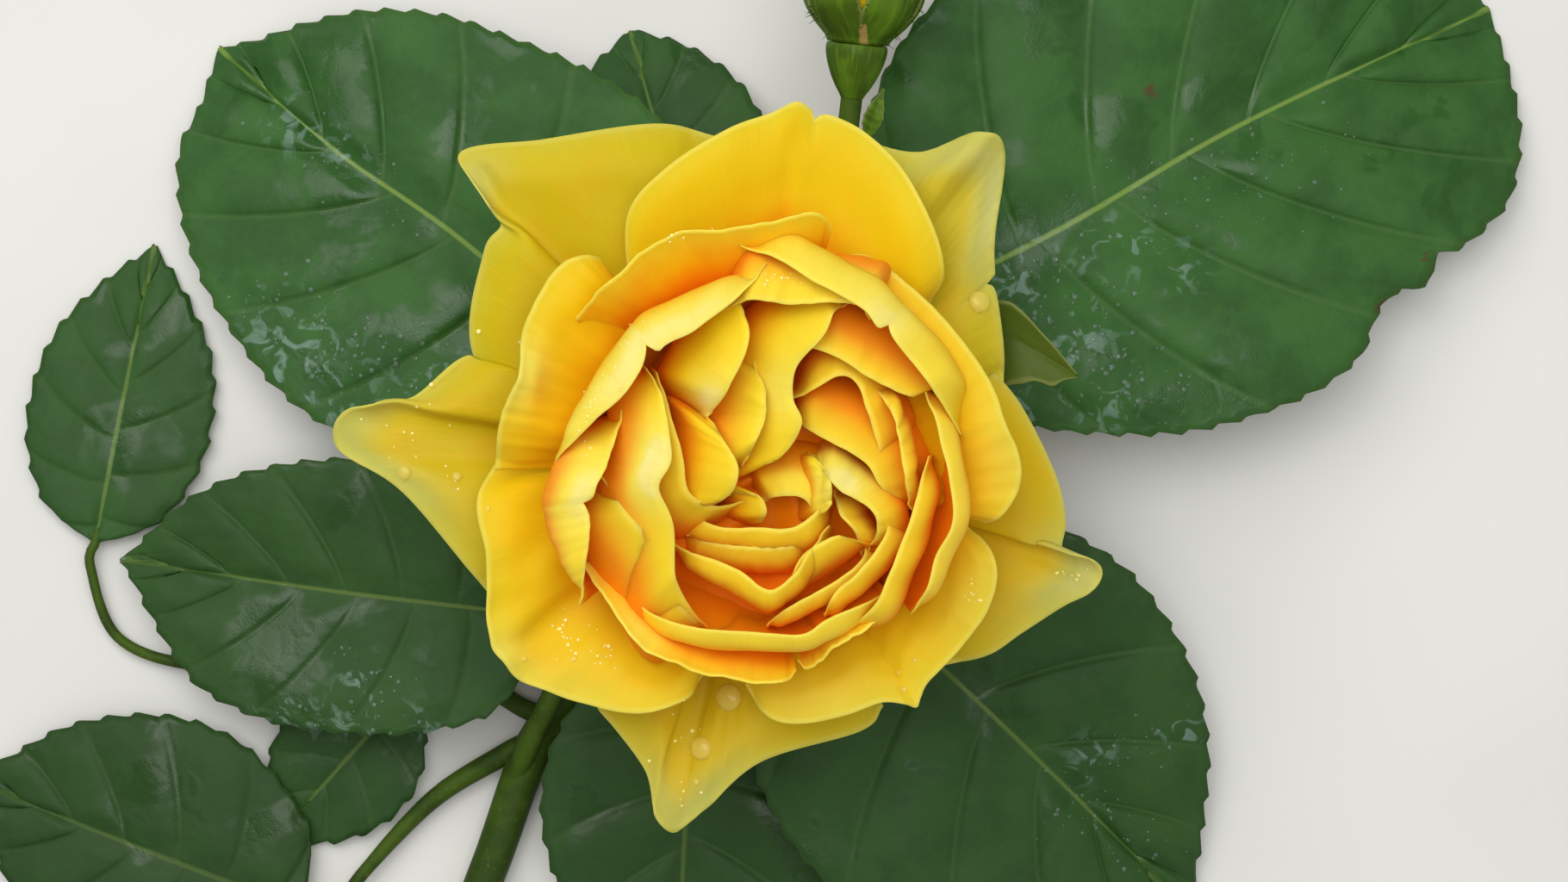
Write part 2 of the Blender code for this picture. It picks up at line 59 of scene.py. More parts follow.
# Each run's piece, slot, path and radii.
CANE_RUNS = (
    ("cane", "cane", ((-44, -74, 2.9), (-38, -58, 2.9), (-31, -40, 3.4), (-19, -25, 4.6), (-8, -12, 6.6),
                      (-3, -5, 9.4)), (2.8, 2.8, 2.9, 2.3, 2.1, 1.9)),
    ("bloom_stalk", "cane", ((-2.6, -4.2, 9.9), (-1.0, -1.6, 13.5), (-0.2, -0.3, 16.8), (0, 0, 20.0)),
     (1.7, 1.6, 1.7, 2.2)),
    ("bud_stalk", "stalk", ((-0.4, -6.6, 9.6), (4, -2, 13), (8.5, 11, 20.5), (11.5, 30, 25.5), (13.8, 49.6, 28.5),
                            (13.95, 51.2, 28.8)), (1.1, 1.1, 1.1, 1.15, 1.45, 1.5)),
)


def to_frame(points):
    """Millimetres from under the bloom, as metres in the frame."""
    return np.asarray(points, float) * 0.001 + FLOOR_UNDER_BLOOM


def run_along(line):
    """The way gone from a line's start to each of its points."""
    return np.concatenate([[0], np.cumsum(np.linalg.norm(np.diff(line, axis=0), axis=1))])


def smooth_line(stations, count):
    """Evenly spaced points on one smooth curve through the stations."""
    given = np.asarray(stations, float)
    ends = np.vstack([2 * given[0] - given[1], given, 2 * given[-1] - given[-2]])
    u = np.linspace(0, 1, 24, endpoint=False)[:, None]
    found = []
    for a, b, c, d in zip(ends, ends[1:], ends[2:], ends[3:]):
        found.append((2 * b + (c - a) * u + (2 * a - 5 * b + 4 * c - d) * u**2 + (3 * b - a - 3 * c + d) * u**3) / 2)
    line = np.vstack([*found, given[-1:]])
    run = run_along(line)
    even = np.linspace(0, run[-1], count)
    return np.stack([np.interp(even, run, line[:, axis]) for axis in range(line.shape[1])], axis=1)


def plug(tree, socket, value):
    """Links another node's socket to this one, or sets its value."""
    if isinstance(value, bpy.types.NodeSocket):
        tree.links.new(value, socket)
    else:
        socket.default_value = value


def add_node(tree, kind, **values):
    """A node with its settings and sockets set by name."""
    node = tree.nodes.new(kind)
    for name, value in values.items():
        if hasattr(node, name):
            setattr(node, name, value)
        else:
            plug(tree, next(s for s in node.inputs if s.name == name.replace("_", " ") and s.enabled), value)
    return node


def noise(tree, place, scale, **more):
    """Soft cloudy noise over a place."""
    return add_node(tree, "ShaderNodeTexNoise", Vector=place, Scale=scale, **more).outputs[0]


def kept_value(tree, label, output="Fac"):
    """What a mesh keeps at its points under a label."""
    return add_node(tree, "ShaderNodeAttribute", attribute_name=label).outputs[output]


def sum_up(tree, operation, a, b=0.0, c=None, clamp=False):
    """One step of arithmetic between sockets or numbers."""
    node = tree.nodes.new("ShaderNodeMath")
    node.operation, node.use_clamp = operation, clamp
    for socket, value in zip(node.inputs, (a, b, c)):
        if value is not None:
            plug(tree, socket, value)
    return node.outputs[0]


def ramp(tree, value, low, high, start=0.0, end=1.0):
    """A smooth step of a value, from start at low to end at high."""
    node = tree.nodes.new("ShaderNodeMapRange")
    node.interpolation_type = "SMOOTHSTEP"
    for socket, number in zip(node.inputs, (value, low, high, start, end)):
        plug(tree, socket, number)
    return node.outputs[0]


def blend(tree, first, *layers):
    """Lays colours over the first, one after another: each layer is (share, colour)."""
    for share, second in layers:
        node = tree.nodes.new("ShaderNodeMix")
        node.data_type = "RGBA"
        plug(tree, node.inputs[0], share)
        for socket, value in ((node.inputs[6], first), (node.inputs[7], second)):
            plug(tree, socket, (*value, 1) if isinstance(value, tuple) else value)
        first = node.outputs[2]
    return first


def new_material(name, roughness, **settings):
    """A Principled material. Its settings are the same all over, so they sit on the shader's own sockets."""
    made = bpy.data.materials.new(name)
    made.use_nodes = True
    shader = made.node_tree.nodes["Principled BSDF"]
    shader.inputs["Roughness"].default_value = roughness
    for label, value in settings.items():
        shader.inputs[label.replace("_", " ")].default_value = value
    return made, made.node_tree, shader


def dress(tree, shader, colour, relief, strength, depth):
    """Gives the shader its colour, and fine relief too small to be modelled."""
    tree.links.new(colour, shader.inputs["Base Color"])
    bump = add_node(tree, "ShaderNodeBump", Strength=strength, Distance=depth, Height=relief)
    tree.links.new(bump.outputs[0], shader.inputs["Normal"])


def bark_material():
    made, tree, shader = new_material("green_bark", 0.5, Specular_IOR_Level=0.12)
    place = add_node(tree, "ShaderNodeTexCoord").outputs["Object"]
    patches = noise(tree, place, 150.0, Detail=3.0)
    specks = noise(tree, place, 1400.0, Detail=2.0)
    colour = blend(tree, CANE_SHADE, (ramp(tree, patches, 0.38, 0.62), CANE_GREEN),
                   (ramp(tree, specks, 0.62, 0.72, 0.0, 0.35), CANE_SPECKS))
    dress(tree, shader, colour, specks, 0.25, 0.0002)
    return made


def open_tree(name, source, **numbers):
    """A geometry tree with one shape to work on, and its named numbers."""
    tree = bpy.data.node_groups.new(name, "GeometryNodeTree")
    tree.interface.new_socket(source, in_out="INPUT", socket_type="NodeSocketGeometry")
    for label, value in numbers.items():
        kind = "NodeSocketInt" if isinstance(value, int) else "NodeSocketFloat"
        tree.interface.new_socket(label, in_out="INPUT", socket_type=kind).default_value = value
    tree.interface.new_socket("Made", in_out="OUTPUT", socket_type="NodeSocketGeometry")
    return tree, tree.nodes.new("NodeGroupInput").outputs


def close_tree(tree, shape, finish):
    """Ends a geometry tree: its instances are made real and get their finish."""
    real = add_node(tree, "GeometryNodeRealizeInstances", Geometry=shape)
    coated = add_node(tree, "GeometryNodeSetMaterial", Geometry=real.outputs[0], Material=finish)
    tree.links.new(coated.outputs[0], tree.nodes.new("NodeGroupOutput").inputs[0])
    return tree


def stem_tree(finish):
    """A round stem along its curve, thicker by the curve's own radius, with fine unevenness in its skin."""
    tree, given = open_tree("stem_along_path", "Path", Sides=20, Unevenness=0.00008)
    ring = add_node(tree, "GeometryNodeCurvePrimitiveCircle", Radius=1.0, Resolution=given["Sides"])
    tube = add_node(tree, "GeometryNodeCurveToMesh", Curve=given["Path"], Profile_Curve=ring.outputs[0],
                    Fill_Caps=True)
    if "Scale" in tube.inputs:
        tree.links.new(add_node(tree, "GeometryNodeInputRadius").outputs[0], tube.inputs["Scale"])
    grain = add_node(tree, "ShaderNodeTexNoise", Scale=260.0, Detail=1.0)
    uneven = sum_up(tree, "MULTIPLY", sum_up(tree, "SUBTRACT", grain.outputs[0], 0.5), given["Unevenness"])
    push = add_node(tree, "ShaderNodeVectorMath", operation="SCALE", Scale=uneven)
    tree.links.new(tree.nodes.new("GeometryNodeInputNormal").outputs[0], push.inputs[0])
    moved = add_node(tree, "GeometryNodeSetPosition", Geometry=tube.outputs[0], Offset=push.outputs[0])
    return close_tree(tree, moved.outputs[0], finish)


def placed(name, data):
    """An object of the scene that holds a mesh, a curve, a lamp or a camera."""
    made = bpy.data.objects.new(name, data)
    bpy.context.scene.collection.objects.link(made)
    return made


def path_curve(name, runs):
    """A curve object of one or more smooth runs, with a radius at each point."""
    data = bpy.data.curves.new(name, "CURVE")
    data.dimensions = "3D"
    for stations, radii, count in runs:
        line = to_frame(smooth_line(stations, count))
        sizes = np.interp(np.linspace(0, 1, count), np.linspace(0, 1, len(radii)), radii) * 0.001
        spline = data.splines.new("POLY")
        spline.points.add(count - 1)
        spline.points.foreach_set("co", np.column_stack([line, np.ones(count)]).ravel())
        spline.points.foreach_set("radius", sizes)
    return placed(name, data)


def grow(source, tree, name, **numbers):
    """Runs a geometry tree on an object and keeps the result as a plain mesh in its place."""
    worker = source.modifiers.new("grow", "NODES")
    worker.node_group = tree
    for item in tree.interface.items_tree:
        if item.in_out == "INPUT" and item.name in numbers:
            worker[item.identifier] = numbers[item.name]
    mesh = bpy.data.meshes.new_from_object(source.evaluated_get(bpy.context.evaluated_depsgraph_get()))
    bpy.data.objects.remove(source)
    mesh.name = name
    mesh.shade_smooth()
    return placed(name, mesh)


def fit(piece, slot, *nodes):
    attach(piece, "root")
    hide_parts(*nodes)
    return piece


stem = stem_tree(bark_material())
for name, slot, stations, radii in CANE_RUNS:
    fit(grow(path_curve(name + "_skin", ((stations, radii, 48),)), stem, name + "_skin", Sides=24), slot, name)

# ---- Bloom
# The open flower is about forty petals on one hip: five guards reflexed at the back, a whorl inside them, a
# bowl that turns in over itself, and a heart of small petals folded in a swirl. A petal is one thin soft blade,
# orange where it is deep in the flower, partly its own colour and partly painted shade, and lemon along its
# margin, narrow at the foot and rolled at the lip. Pale places and its rim carry a painted highlight.

# Millimetres, then the shares of the margin at each end where a petal tucks in and where it lies on the next, and
# how steeply a tear's two sides run out. The feet are the cushion in the flower's middle.
PETAL_FOOT_HEIGHT, PETAL_FOOT_RADIUS, PETAL_LENGTH = 34.0, 3.4, 40
# Below this height in the bloom, fading over these millimetres, petals get painted shade as more orange.
LOW_SHADE_HEIGHT, LOW_SHADE_FADE = 58.0, 9
TUCKED_SHARE, OPEN_SHARE, TEAR_SIDES = 0.24, 0.06, (0.9, 6.0)
FEET_MIDDLE, FEET_RADIUS, FEET_HEIGHT, FEET_RIDGES = (2, -1), 27, 50.5, 7
# Warm tint; orange of the depths and the inner face, partly own colour and partly painted shade; gold veins.
WARM, DEEP_ORANGE_AND_SHADE = (0.93, 0.42, 0.002), (0.93, 0.225, 0.002)
FRONT_ORANGE_AND_SHADE, VEIN_GOLD = (0.93, 0.26, 0.002), (0.90, 0.44, 0.004)
# Each pair is a fresh petal's colour and a faded one's: blade, pale places (painted highlight), the palest
# (brighter painted highlight), the lip, and the rim (painted highlight of light through the thin edge).
FRESH_AND_FADED = (
    ((0.93, 0.62, 0.003), (0.54, 0.44, 0.006)),
    ((0.920, 0.720, 0.088), (0.50, 0.485, 0.110)),
    ((0.93, 0.84, 0.32), (0.60, 0.58, 0.22)),
    ((0.93, 0.72, 0.04), (0.55, 0.49, 0.05)),
    ((0.93, 0.76, 0.12), (0.66, 0.60, 0.14)),
)
# A habit's blade, in millimetres and degrees: its columns and rows; its rise from the foot, and how long the body
# holds it; its lean at the margin (over 90 turns inwards) and at the margin's two ends, and how long the hook
# holds them; where the belly stands out and how far below the margin, if it is set; how far the lip rolls over;
# unevenness; thickness; how far from the margin orange starts and is full, partly the petal's own colour and
# partly painted shade; how much painted shade, as more orange, it has where it is steep and where it is low in
# the bloom; how much painted highlight pales the turned-in back; how far it has faded to lemon.
HABIT_FACTS = ("grid", "rise", "body", "lean", "ends", "hook", "belly", "roll", "wave", "thick", "orange", "steep_shade",
               "low", "pale_back_highlight", "lemon")
HABITS = {
    "guard": ((128, 56), 28, 16, 4, 4, 16, None, 1.9, 0.36, 0.5, (16, 46), 0.05, 0, 0, 1.0),
    "whorl": ((128, 56), 40, 16, 22, 22, 12, None, 1.0, 0.5, 0.48, (7, 30), 0.15, 0, 0, 0.5),
    "open_bowl": ((96, 44), 42, 18, 66, 66, 12, None, 0.3, 0.35, 0.42, (1, 11), 0.3, 0.25, 0.25, 0),
    "bowl": ((112, 44), 30, 20, 155, 97, 14, None, 0, 0.32, 0.42, (5.5, 15), 0.22, 0.35, 0.5, 0.1),
    "inner_bowl": ((100, 44), 30, 20, 157, 100, 16, (6, 15), 0, 0.3, 0.42, (1.5, 8.5), 0.3, 0.4, 0.45, 0),
    "swirl": ((60, 34), 44, 10, 158, 104, 18, (9, 16), 0, 0.26, 0.38, (0.8, 7.5), 0.22, 0.5, 0.22, 0),
    "heart": ((56, 32), 44, 10, 160, 120, 12, (7, 10), 0, 0.2, 0.38, (1.0, 8), 0.3, 0.35, 0.1, 0),
}
PLAIN_PETAL = {"band": 1.0, "narrows": (0, 0), "tears": (), "folds": (), "creases": (), "pale": ()}


def petal(habit, heart, margin, **own):
    """A petal of a habit: the heart that it curls round, its margin as (x, y, height), then what is its own. Those
    are tone, from golden to warm, partly its own tint and partly painted shade; orange, how far its deep colour
    reaches in place of its habit's, partly its own colour and partly painted shade; band, how broad it shows
    against its habit; narrows, the shares of that lost towards the margin's start and its end; tears of the margin
    as (x, y, half width, depth); folds of the lip as (x, y, half width, lift, pull inwards); creases as (from x, y,
    to x, y, half width, height); and pale places, painted highlights, as (x, y, radius, strength)."""
    return dict(zip(HABIT_FACTS, HABITS[habit])) | PLAIN_PETAL | own | {"heart": heart, "margin": margin}


GUARDS = (
    petal("guard", (0, 0), ((-31.5, 2.6, 42), (-37.2, 14.1, 45), (-46.3, 8, 46), (-55, 6.9, 43), (-56.3, 1.6, 42),
          (-47.1, -4.4, 44), (-37.8, -15.1, 45), (-34.9, -18.7, 42)),
          folds=((-52.5, 6.2, 3, 1.8, 1.0), (-56, 3, 3, -1.2, 0)),
          creases=((-53, 3.5, -38, 1, 3.2, 0.9), (-50, 5.6, -37, 12, 2.2, -1.3)),
          pale=((-55, 2, 11, 1.0), (-44, -4, 9, 0.6))),
    petal("guard", (0, 0), ((-31.5, 1.6, 42), (-37.8, 15.5, 45), (-35.9, 28.2, 46), (-33.9, 32.8, 46),
          (-39.6, 41.3, 44), (-27.9, 43.2, 46), (-12.8, 45.3, 46), (-4.6, 43.7, 43)),
          folds=((-36.4, 35.2, 4, 1.9, 1.4),),
          creases=((-36, 38.5, -32.3, 30.5, 1.3, -1.3), (-32, 30, -22, 20, 2.0, 0.35)), pale=((-37, 36, 4.5, 1.5),)),
    petal("guard", (0, 0), ((13.8, 43.6, 44), (22.6, 41.5, 46), (30.9, 44.4, 48), (34.3, 42.1, 46), (32.8, 28.2, 46),
          (34.1, 15.5, 45), (34.2, 9.8, 42)), tears=((34.3, 24.6, 0.8, 1.3),), folds=((32.6, 43.6, 4, 1.2, 0.7),),
          creases=((34.2, 24, 26.3, 28.5, 1.5, -0.4), (22.6, 41.5, 18, 33, 3.2, -0.5)),
          pale=((31, 38, 10, 1.4), (31, 29, 8, 0.8))),
    petal("guard", (0, 0), ((28.9, 15.6, 43), (34.6, 10, 44.5), (37.9, 4.9, 45), (41.3, -2.4, 45), (42.5, -8, 45),
          (42.1, -11.6, 45), (43.4, -12.8, 44.8), (46.4, -13.6, 44), (47.6, -15.6, 43), (45.8, -18, 43.5),
          (42.2, -19.8, 44), (36.7, -23.3, 44.5), (31.8, -26.4, 45), (25.4, -27.8, 43)),
          folds=((44.6, -13.0, 2.4, 2.2, 0.9),), creases=((46.0, -16.0, 39.5, -12.6, 1.5, -1.3),),
          pale=((45.5, -15.0, 6, 1.3), (40, -18, 8, 0.6))),
    petal("guard", (0, 0), ((-20.7, -33.5, 43), (-14.1, -42.5, 43), (-13.3, -49.1, 41), (-10.1, -50.8, 40),
          (-6, -47.3, 42), (1.6, -40.7, 44), (14.9, -36.6, 44), (17.9, -33.3, 42)),
          folds=((-13.2, -48.6, 3, 1.3, 0.8),), creases=((-10.2, -50, -6, -38, 3.2, 0.9),),
          pale=((-9, -49, 9, 1.0), (-5, -41, 8, 0.4))),
)
WHORL = (
    petal("whorl", (0, 0), ((-16.3, 22.4, 47), (-16.3, 32.5, 51), (-11.4, 38.6, 53), (-3.5, 43.7, 54),
          (2.8, 45.9, 54), (6.2, 47.7, 54), (8.3, 46.2, 54), (10.6, 45.6, 54), (15.2, 43.2, 54), (19.8, 38.9, 54),
          (23.8, 32.3, 54), (25.7, 25.6, 52), (24.1, 21.2, 47)), tone=0.2, tears=((8.6, 46.0, 0.7, 1.2),),
          folds=((6.2, 47.6, 1.8, 1.0, 0.4),)),
    petal("whorl", (0, 0), ((-18.2, 24, 50), (-21, 26.9, 55), (-24.8, 25.7, 57), (-29, 19.1, 58), (-31.8, 11.8, 57),
          (-33.2, 3.9, 55), (-33.9, -1.2, 50)), tone=1.0, folds=((-32.0, 12.4, 4.5, 1.4, 1.7),),
          creases=((-30.2, 17, -31.2, 6, 1.4, -0.7),), pale=((-32, 12, 4.5, 1.5),)),
    petal("whorl", (0, 0), ((-33.9, 0.2, 46), (-36.3, -5.2, 51), (-35.1, -13.2, 52), (-34.7, -22.9, 51),
          (-33.4, -28.2, 49), (-23.6, -31.8, 50), (-14.9, -33.8, 51), (-8.1, -31.5, 51), (-6.1, -28.3, 47)), tone=0.7,
          folds=((-34.2, -27.6, 2.4, 1.4, 1.3),), pale=((-34, -27, 4, 0.8), (-24, -31, 9, 0.4))),
    petal("whorl", (0, 0), ((-0.7, -30, 48), (2.2, -34, 51), (6.2, -35, 51.5), (12.5, -33.8, 52), (17.6, -32.1, 51.5),
          (20.4, -32.5, 51), (22.3, -33.1, 51), (22.9, -31.5, 51.2), (23.8, -29.4, 51.5), (27.9, -24.8, 52.5),
          (31.4, -19.4, 54), (32.5, -13.4, 54), (28.8, -8.6, 50)), tone=0.6, folds=((22.2, -32.8, 1.8, 0.9, 0.3),),
          pale=((10, -34, 10, 0.4), (30, -18, 7, 0.4))),
    petal("whorl", (0, 0), ((11.3, 26.8, 50), (15.8, 26.8, 56), (23.6, 20.4, 58), (30.6, 11.8, 59), (34.6, 2.9, 59),
          (35.4, -2.8, 58), (32.7, -7.6, 56), (29.1, -7.5, 50)), tone=1.2, folds=((33.5, 5, 3, 0.8, 0.5),),
          pale=((34, 1, 7, 0.5),)),
)
BOWL = (
    petal("open_bowl", (0, 0), ((-22.9, 18.6, 56), (-18.5, 23.2, 61), (-10.8, 28.7, 63), (-3.3, 30.1, 63),
          (2, 30.9, 63), (8.9, 31.8, 62), (10.7, 30.1, 57)), tone=0.2, orange=(5, 18)),
    petal("bowl", (0, 0), ((-1.4, 28.1, 59), (3.4, 26.4, 63), (8.6, 23, 65), (14.4, 19.7, 66), (17.2, 16.3, 66),
          (20.7, 13.1, 65), (23.9, 8.9, 64), (27.5, 3.4, 59)), tears=((16.9, 16.4, 1.6, 1.7),),
          pale=((17, 18, 5, 1.0), (8, 25, 8, 0.3))),
    petal("inner_bowl", (1, 4), ((-3.4, 19.8, 60), (0.4, 20.8, 63), (5.5, 20.3, 63), (13.7, 20.2, 63),
          (15.7, 18.3, 59))),
    petal("bowl", (0, 0), ((2.2, 25.7, 61), (-1.6, 21.1, 64), (-6.4, 17.1, 65), (-10.4, 15.2, 66), (-11.9, 13.6, 66),
          (-15.7, 8.7, 65), (-19.6, 5.6, 64), (-22.6, 2.7, 62), (-25.7, -0.6, 57)), narrows=(0.3, 0.6),
          tears=((-11.9, 13.4, 1.7, 2.6),), pale=((-14, 13, 12, 1.2), (-3, 22, 8, 0.5))),
    petal("inner_bowl", (0, -2), ((-16.6, 6.7, 60), (-18.2, -0.2, 63), (-19.8, -3.6, 64), (-20.2, -6.1, 63),
          (-20.7, -10.6, 62), (-21.4, -14.6, 60), (-22.3, -18.9, 56)), narrows=(0.1, 0.92),
          tears=((-20.3, -5.2, 1.5, 1.4),), tone=0.6, pale=((-20.5, -4.5, 5, 1.3),)),
    petal("open_bowl", (0, 0), ((-22, -13.6, 55), (-18.7, -18, 58), (-12.9, -24.6, 60), (-6.7, -27.4, 60),
          (-0.6, -28.6, 60), (4.3, -29, 59), (6.1, -27.5, 56)), folds=((-14.5, -22.5, 3, 0.9, -0.5),),
          pale=((-14.5, -22.5, 4, 0.9), (-22, -15, 4, 0.6))),
    petal("inner_bowl", (3, 0), ((-14.7, -18.7, 56), (-12.2, -20.3, 59), (-7.8, -21.5, 61), (-2.2, -22, 62),
          (6.2, -22.4, 62), (9.8, -20.6, 62), (15, -18.6, 60), (17.4, -17.5, 57)), band=0.4),
    petal("bowl", (0, -4), ((22.3, 9.9, 58), (24.2, 4.8, 62), (26, -3.2, 63), (26.2, -8.3, 63), (24.3, -12.3, 62),
          (23, -16.8, 61), (21.1, -20, 57)), tone=2.2, orange=(1.2, 6.5), band=0.6),
    petal("open_bowl", (0, 0), ((6.3, -26.4, 55), (7.6, -27.1, 57), (10.4, -25.1, 59), (15, -22.1, 59),
          (19.7, -18.6, 57))),
)
SWIRL = (
    petal("swirl", (3, -6), ((23.4, 0.6, 58), (21.6, -5, 61), (20, -9.8, 62), (18.1, -14.4, 62), (16.5, -18.2, 61),
          (12.9, -22, 57)), tone=2.0, orange=(1.0, 6.5), band=0.4),
    petal("swirl", (6, 4), ((-4, 20.6, 58), (-1.3, 20, 61), (0, 16.6, 63), (-0.9, 12.8, 63), (-3.3, 8.4, 62),
          (-5.6, 5.7, 58)), narrows=(0.65, 0), tone=0.0, orange=(5, 14), pale=((-5.4, 7.4, 4.0, 1.6),)),
    petal("swirl", (6, -4), ((-5.6, 5.7, 58), (-3.8, 3.4, 61), (-1.4, -0.7, 62), (-2.3, -4.1, 61), (-5.1, -5.7, 58),
          (-8, -4.6, 54)), orange=(3, 10)),
    petal("swirl", (8, 5), ((0.5, 12.9, 58), (2.1, 9, 60), (2, 5.6, 60), (0.9, 2.6, 60), (-0.9, -0.6, 57))),
    petal("swirl", (4, -4), ((-13.4, 12, 60), (-11.3, 8.1, 63), (-9.7, 0, 64), (-10.9, -3.7, 63), (-9.8, -8.4, 62),
          (-9.6, -15.1, 60), (-7.7, -19.4, 57), (-5.5, -22, 53)), folds=((-10.2, -3, 3, 0.8, -0.8),),
          pale=((-11.3, -0.8, 4.8, 2.3),)),
    petal("swirl", (4, 0), ((-12.2, 11.6, 58), (-10.3, 6.4, 61), (-8.6, 0.6, 61), (-7.8, -4.1, 60), (-4.2, -6, 57),
          (1.1, -5.1, 54)), band=0.8),
    petal("swirl", (3, -3), ((-19.4, -1.9, 58), (-15.9, -6.7, 60), (-12.3, -10.9, 60), (-9.7, -17.6, 58),
          (-7.7, -20.4, 56), (-5.6, -22, 52)), tone=1.8),
    petal("swirl", (3, -2), ((-10.4, -10.8, 56), (-6.4, -12.3, 58), (-2.2, -13.8, 60), (2.6, -16.8, 61),
          (5.8, -14.6, 60), (7.9, -11.5, 58), (10.4, -8.5, 55)), tone=1.2, band=0.36),
    petal("swirl", (6, -8), ((5.7, -17.8, 55), (5.7, -14.6, 57), (7.9, -11.5, 58), (11.8, -9.8, 58),
          (14.4, -11.5, 55)), tone=1.8, band=0.5),
    petal("swirl", (4, -8), ((2.2, -21.7, 55), (5, -19.1, 58), (10.1, -16.5, 58), (14.4, -13.2, 57),
          (15.6, -10.6, 53)), tone=1.8, band=0.28),
    petal("swirl", (6, -6), ((9.7, -20.2, 56), (11, -17.4, 59), (14.6, -14, 60), (17.4, -10.1, 59), (18.3, -6.8, 55)),
          tone=1.8, band=0.34),
    petal("swirl", (16, 6), ((12.9, 20.6, 58), (10.9, 19.3, 62), (9.5, 16, 62), (6.2, 12.3, 61), (5.7, 8.2, 60),
          (6.9, 4.8, 60), (3.9, 0.4, 58), (-1, -0.6, 55)), tone=0.0, orange=(3, 12), pale=((3.8, 9, 4, 0.9),)),
    petal("swirl", (12, 4), ((5.8, 12.4, 57), (7.8, 14.6, 60), (11.7, 13.3, 61), (15.7, 10.6, 61), (21.5, 8.3, 60),
          (22.8, 10.1, 56)), tone=2.4, orange=(0.6, 5)),
    petal("swirl", (10, 0), ((5.6, 8.1, 56), (8.4, 9.3, 58), (11.2, 11, 59), (13.7, 10.5, 59), (15.5, 6.2, 59),
          (17.5, -1.2, 56)), tone=2.6, orange=(0.8, 6), band=0.7),
    petal("swirl", (8, -4), ((16.3, 9.8, 57), (18.4, 6.2, 61), (19.6, 1.7, 61), (20.2, -2.8, 60), (21.2, -6.5, 56)),
          tone=2.6, orange=(0.8, 5), band=0.26),
    petal("swirl", (8, -8), ((6, 6.4, 54), (7.2, 4.4, 57), (11.3, 2, 58), (15.1, -0.3, 58), (17.1, -3.4, 57),
          (20.6, -6.5, 54)), tone=1.9),
    petal("swirl", (8, -9), ((8.4, 0.5, 55), (9.9, -1.9, 58), (11.8, -3.9, 59), (15.5, -6, 59), (16.6, -8.7, 58),
          (15.6, -12, 54)), band=0.5, pale=((12.0, -3.0, 4.0, 1.6),)),
    petal("swirl", (4, -7), ((11.1, -3.8, 54), (11.8, -7.1, 56), (13.7, -9.3, 56), (14.7, -12.6, 53)), tone=2.2,
          band=0.42),
    petal("swirl", (4, 0), ((-9.4, -6.4, 53), (-4, -8.6, 56), (1.1, -8.7, 57), (5.6, -8.7, 57), (8.3, -7.1, 57),
          (10.1, -5.1, 55)), tone=1.0, orange=(1.5, 9), band=0.42),
    petal("swirl", (4, -2), ((-8.8, -9.4, 52), (-4, -10.9, 54.5), (1.1, -11.4, 55.6), (5.6, -11.0, 55.6),
          (8.4, -9.6, 54)), tone=1.3, orange=(1.5, 8), band=0.42),
    petal("heart", (7, -7), ((-3.5, -4.6, 53), (0.2, -4.5, 55.5), (1.7, -5.2, 56), (2.2, -6.8, 56), (1.6, -8.2, 54)),
          band=0.8),
    petal("heart", (4.6, -8.5), ((1.6, -5.6, 53), (2.9, -4.9, 55), (4.6, -4.6, 56.2), (6.6, -4.8, 56.2),
          (7.9, -6.1, 55.5), (8.0, -7.9, 54)), pale=((6.0, -2.5, 3.5, 0.5),)),
    petal("heart", (16, -3.2), ((8.4, 0.6, 56), (9.9, -0.9, 58), (10.7, -2.8, 58.6), (10.7, -4.8, 58),
          (9.9, -6.6, 56.5), (8.6, -7.6, 55)), band=0.42, folds=((10.2, -6.0, 0.9, 0.8, 0.5),),
          creases=((9.2, -0.5, 9.3, -7, 0.5, -0.5),), pale=((9.6, -3.4, 3.0, 0.9),)),
)


def normals_of(grid):
    """The way that a surface faces at each point of its grid."""
    along, across = np.gradient(grid, axis=0), np.gradient(grid, axis=1)
    normal = np.cross(across, along)
    return normal / np.maximum(np.linalg.norm(normal, axis=2, keepdims=True), 1e-9)


def front_sign(grid, row, column, way):
    """1 if a grid faces a way at one of its points, or else -1."""
    return 1 if normals_of(grid)[row, column] @ way > 0 else -1


def soft_step(value, low, high):
    share = np.clip((value - low) / (high - low), 0, 1)
    return share * share * (3 - 2 * share)


def ripples(u, t, seed, across=5.0, along=2.0):
    """Slow unevenness of a hand-sized blade, about -1 to 1."""
    chance = np.random.default_rng(seed)
    total = 0
    for octave in range(4):
        size = 1.7**octave
        a, b = chance.normal(size=2)
        turn = chance.uniform(0, math.tau)
        waves = u * across * size * (0.35 + 0.2 * a) + t * along * size * 0.4 * b
        total = total + np.sin(math.tau * waves + turn) / size
    return total / 1.8


def near(grid, x, y, radius):
    """How near each point is to a place seen from above, from 1 there to 0 far off."""
    return np.exp(-((grid[..., 0] - x) ** 2 + (grid[..., 1] - y) ** 2) / radius**2)


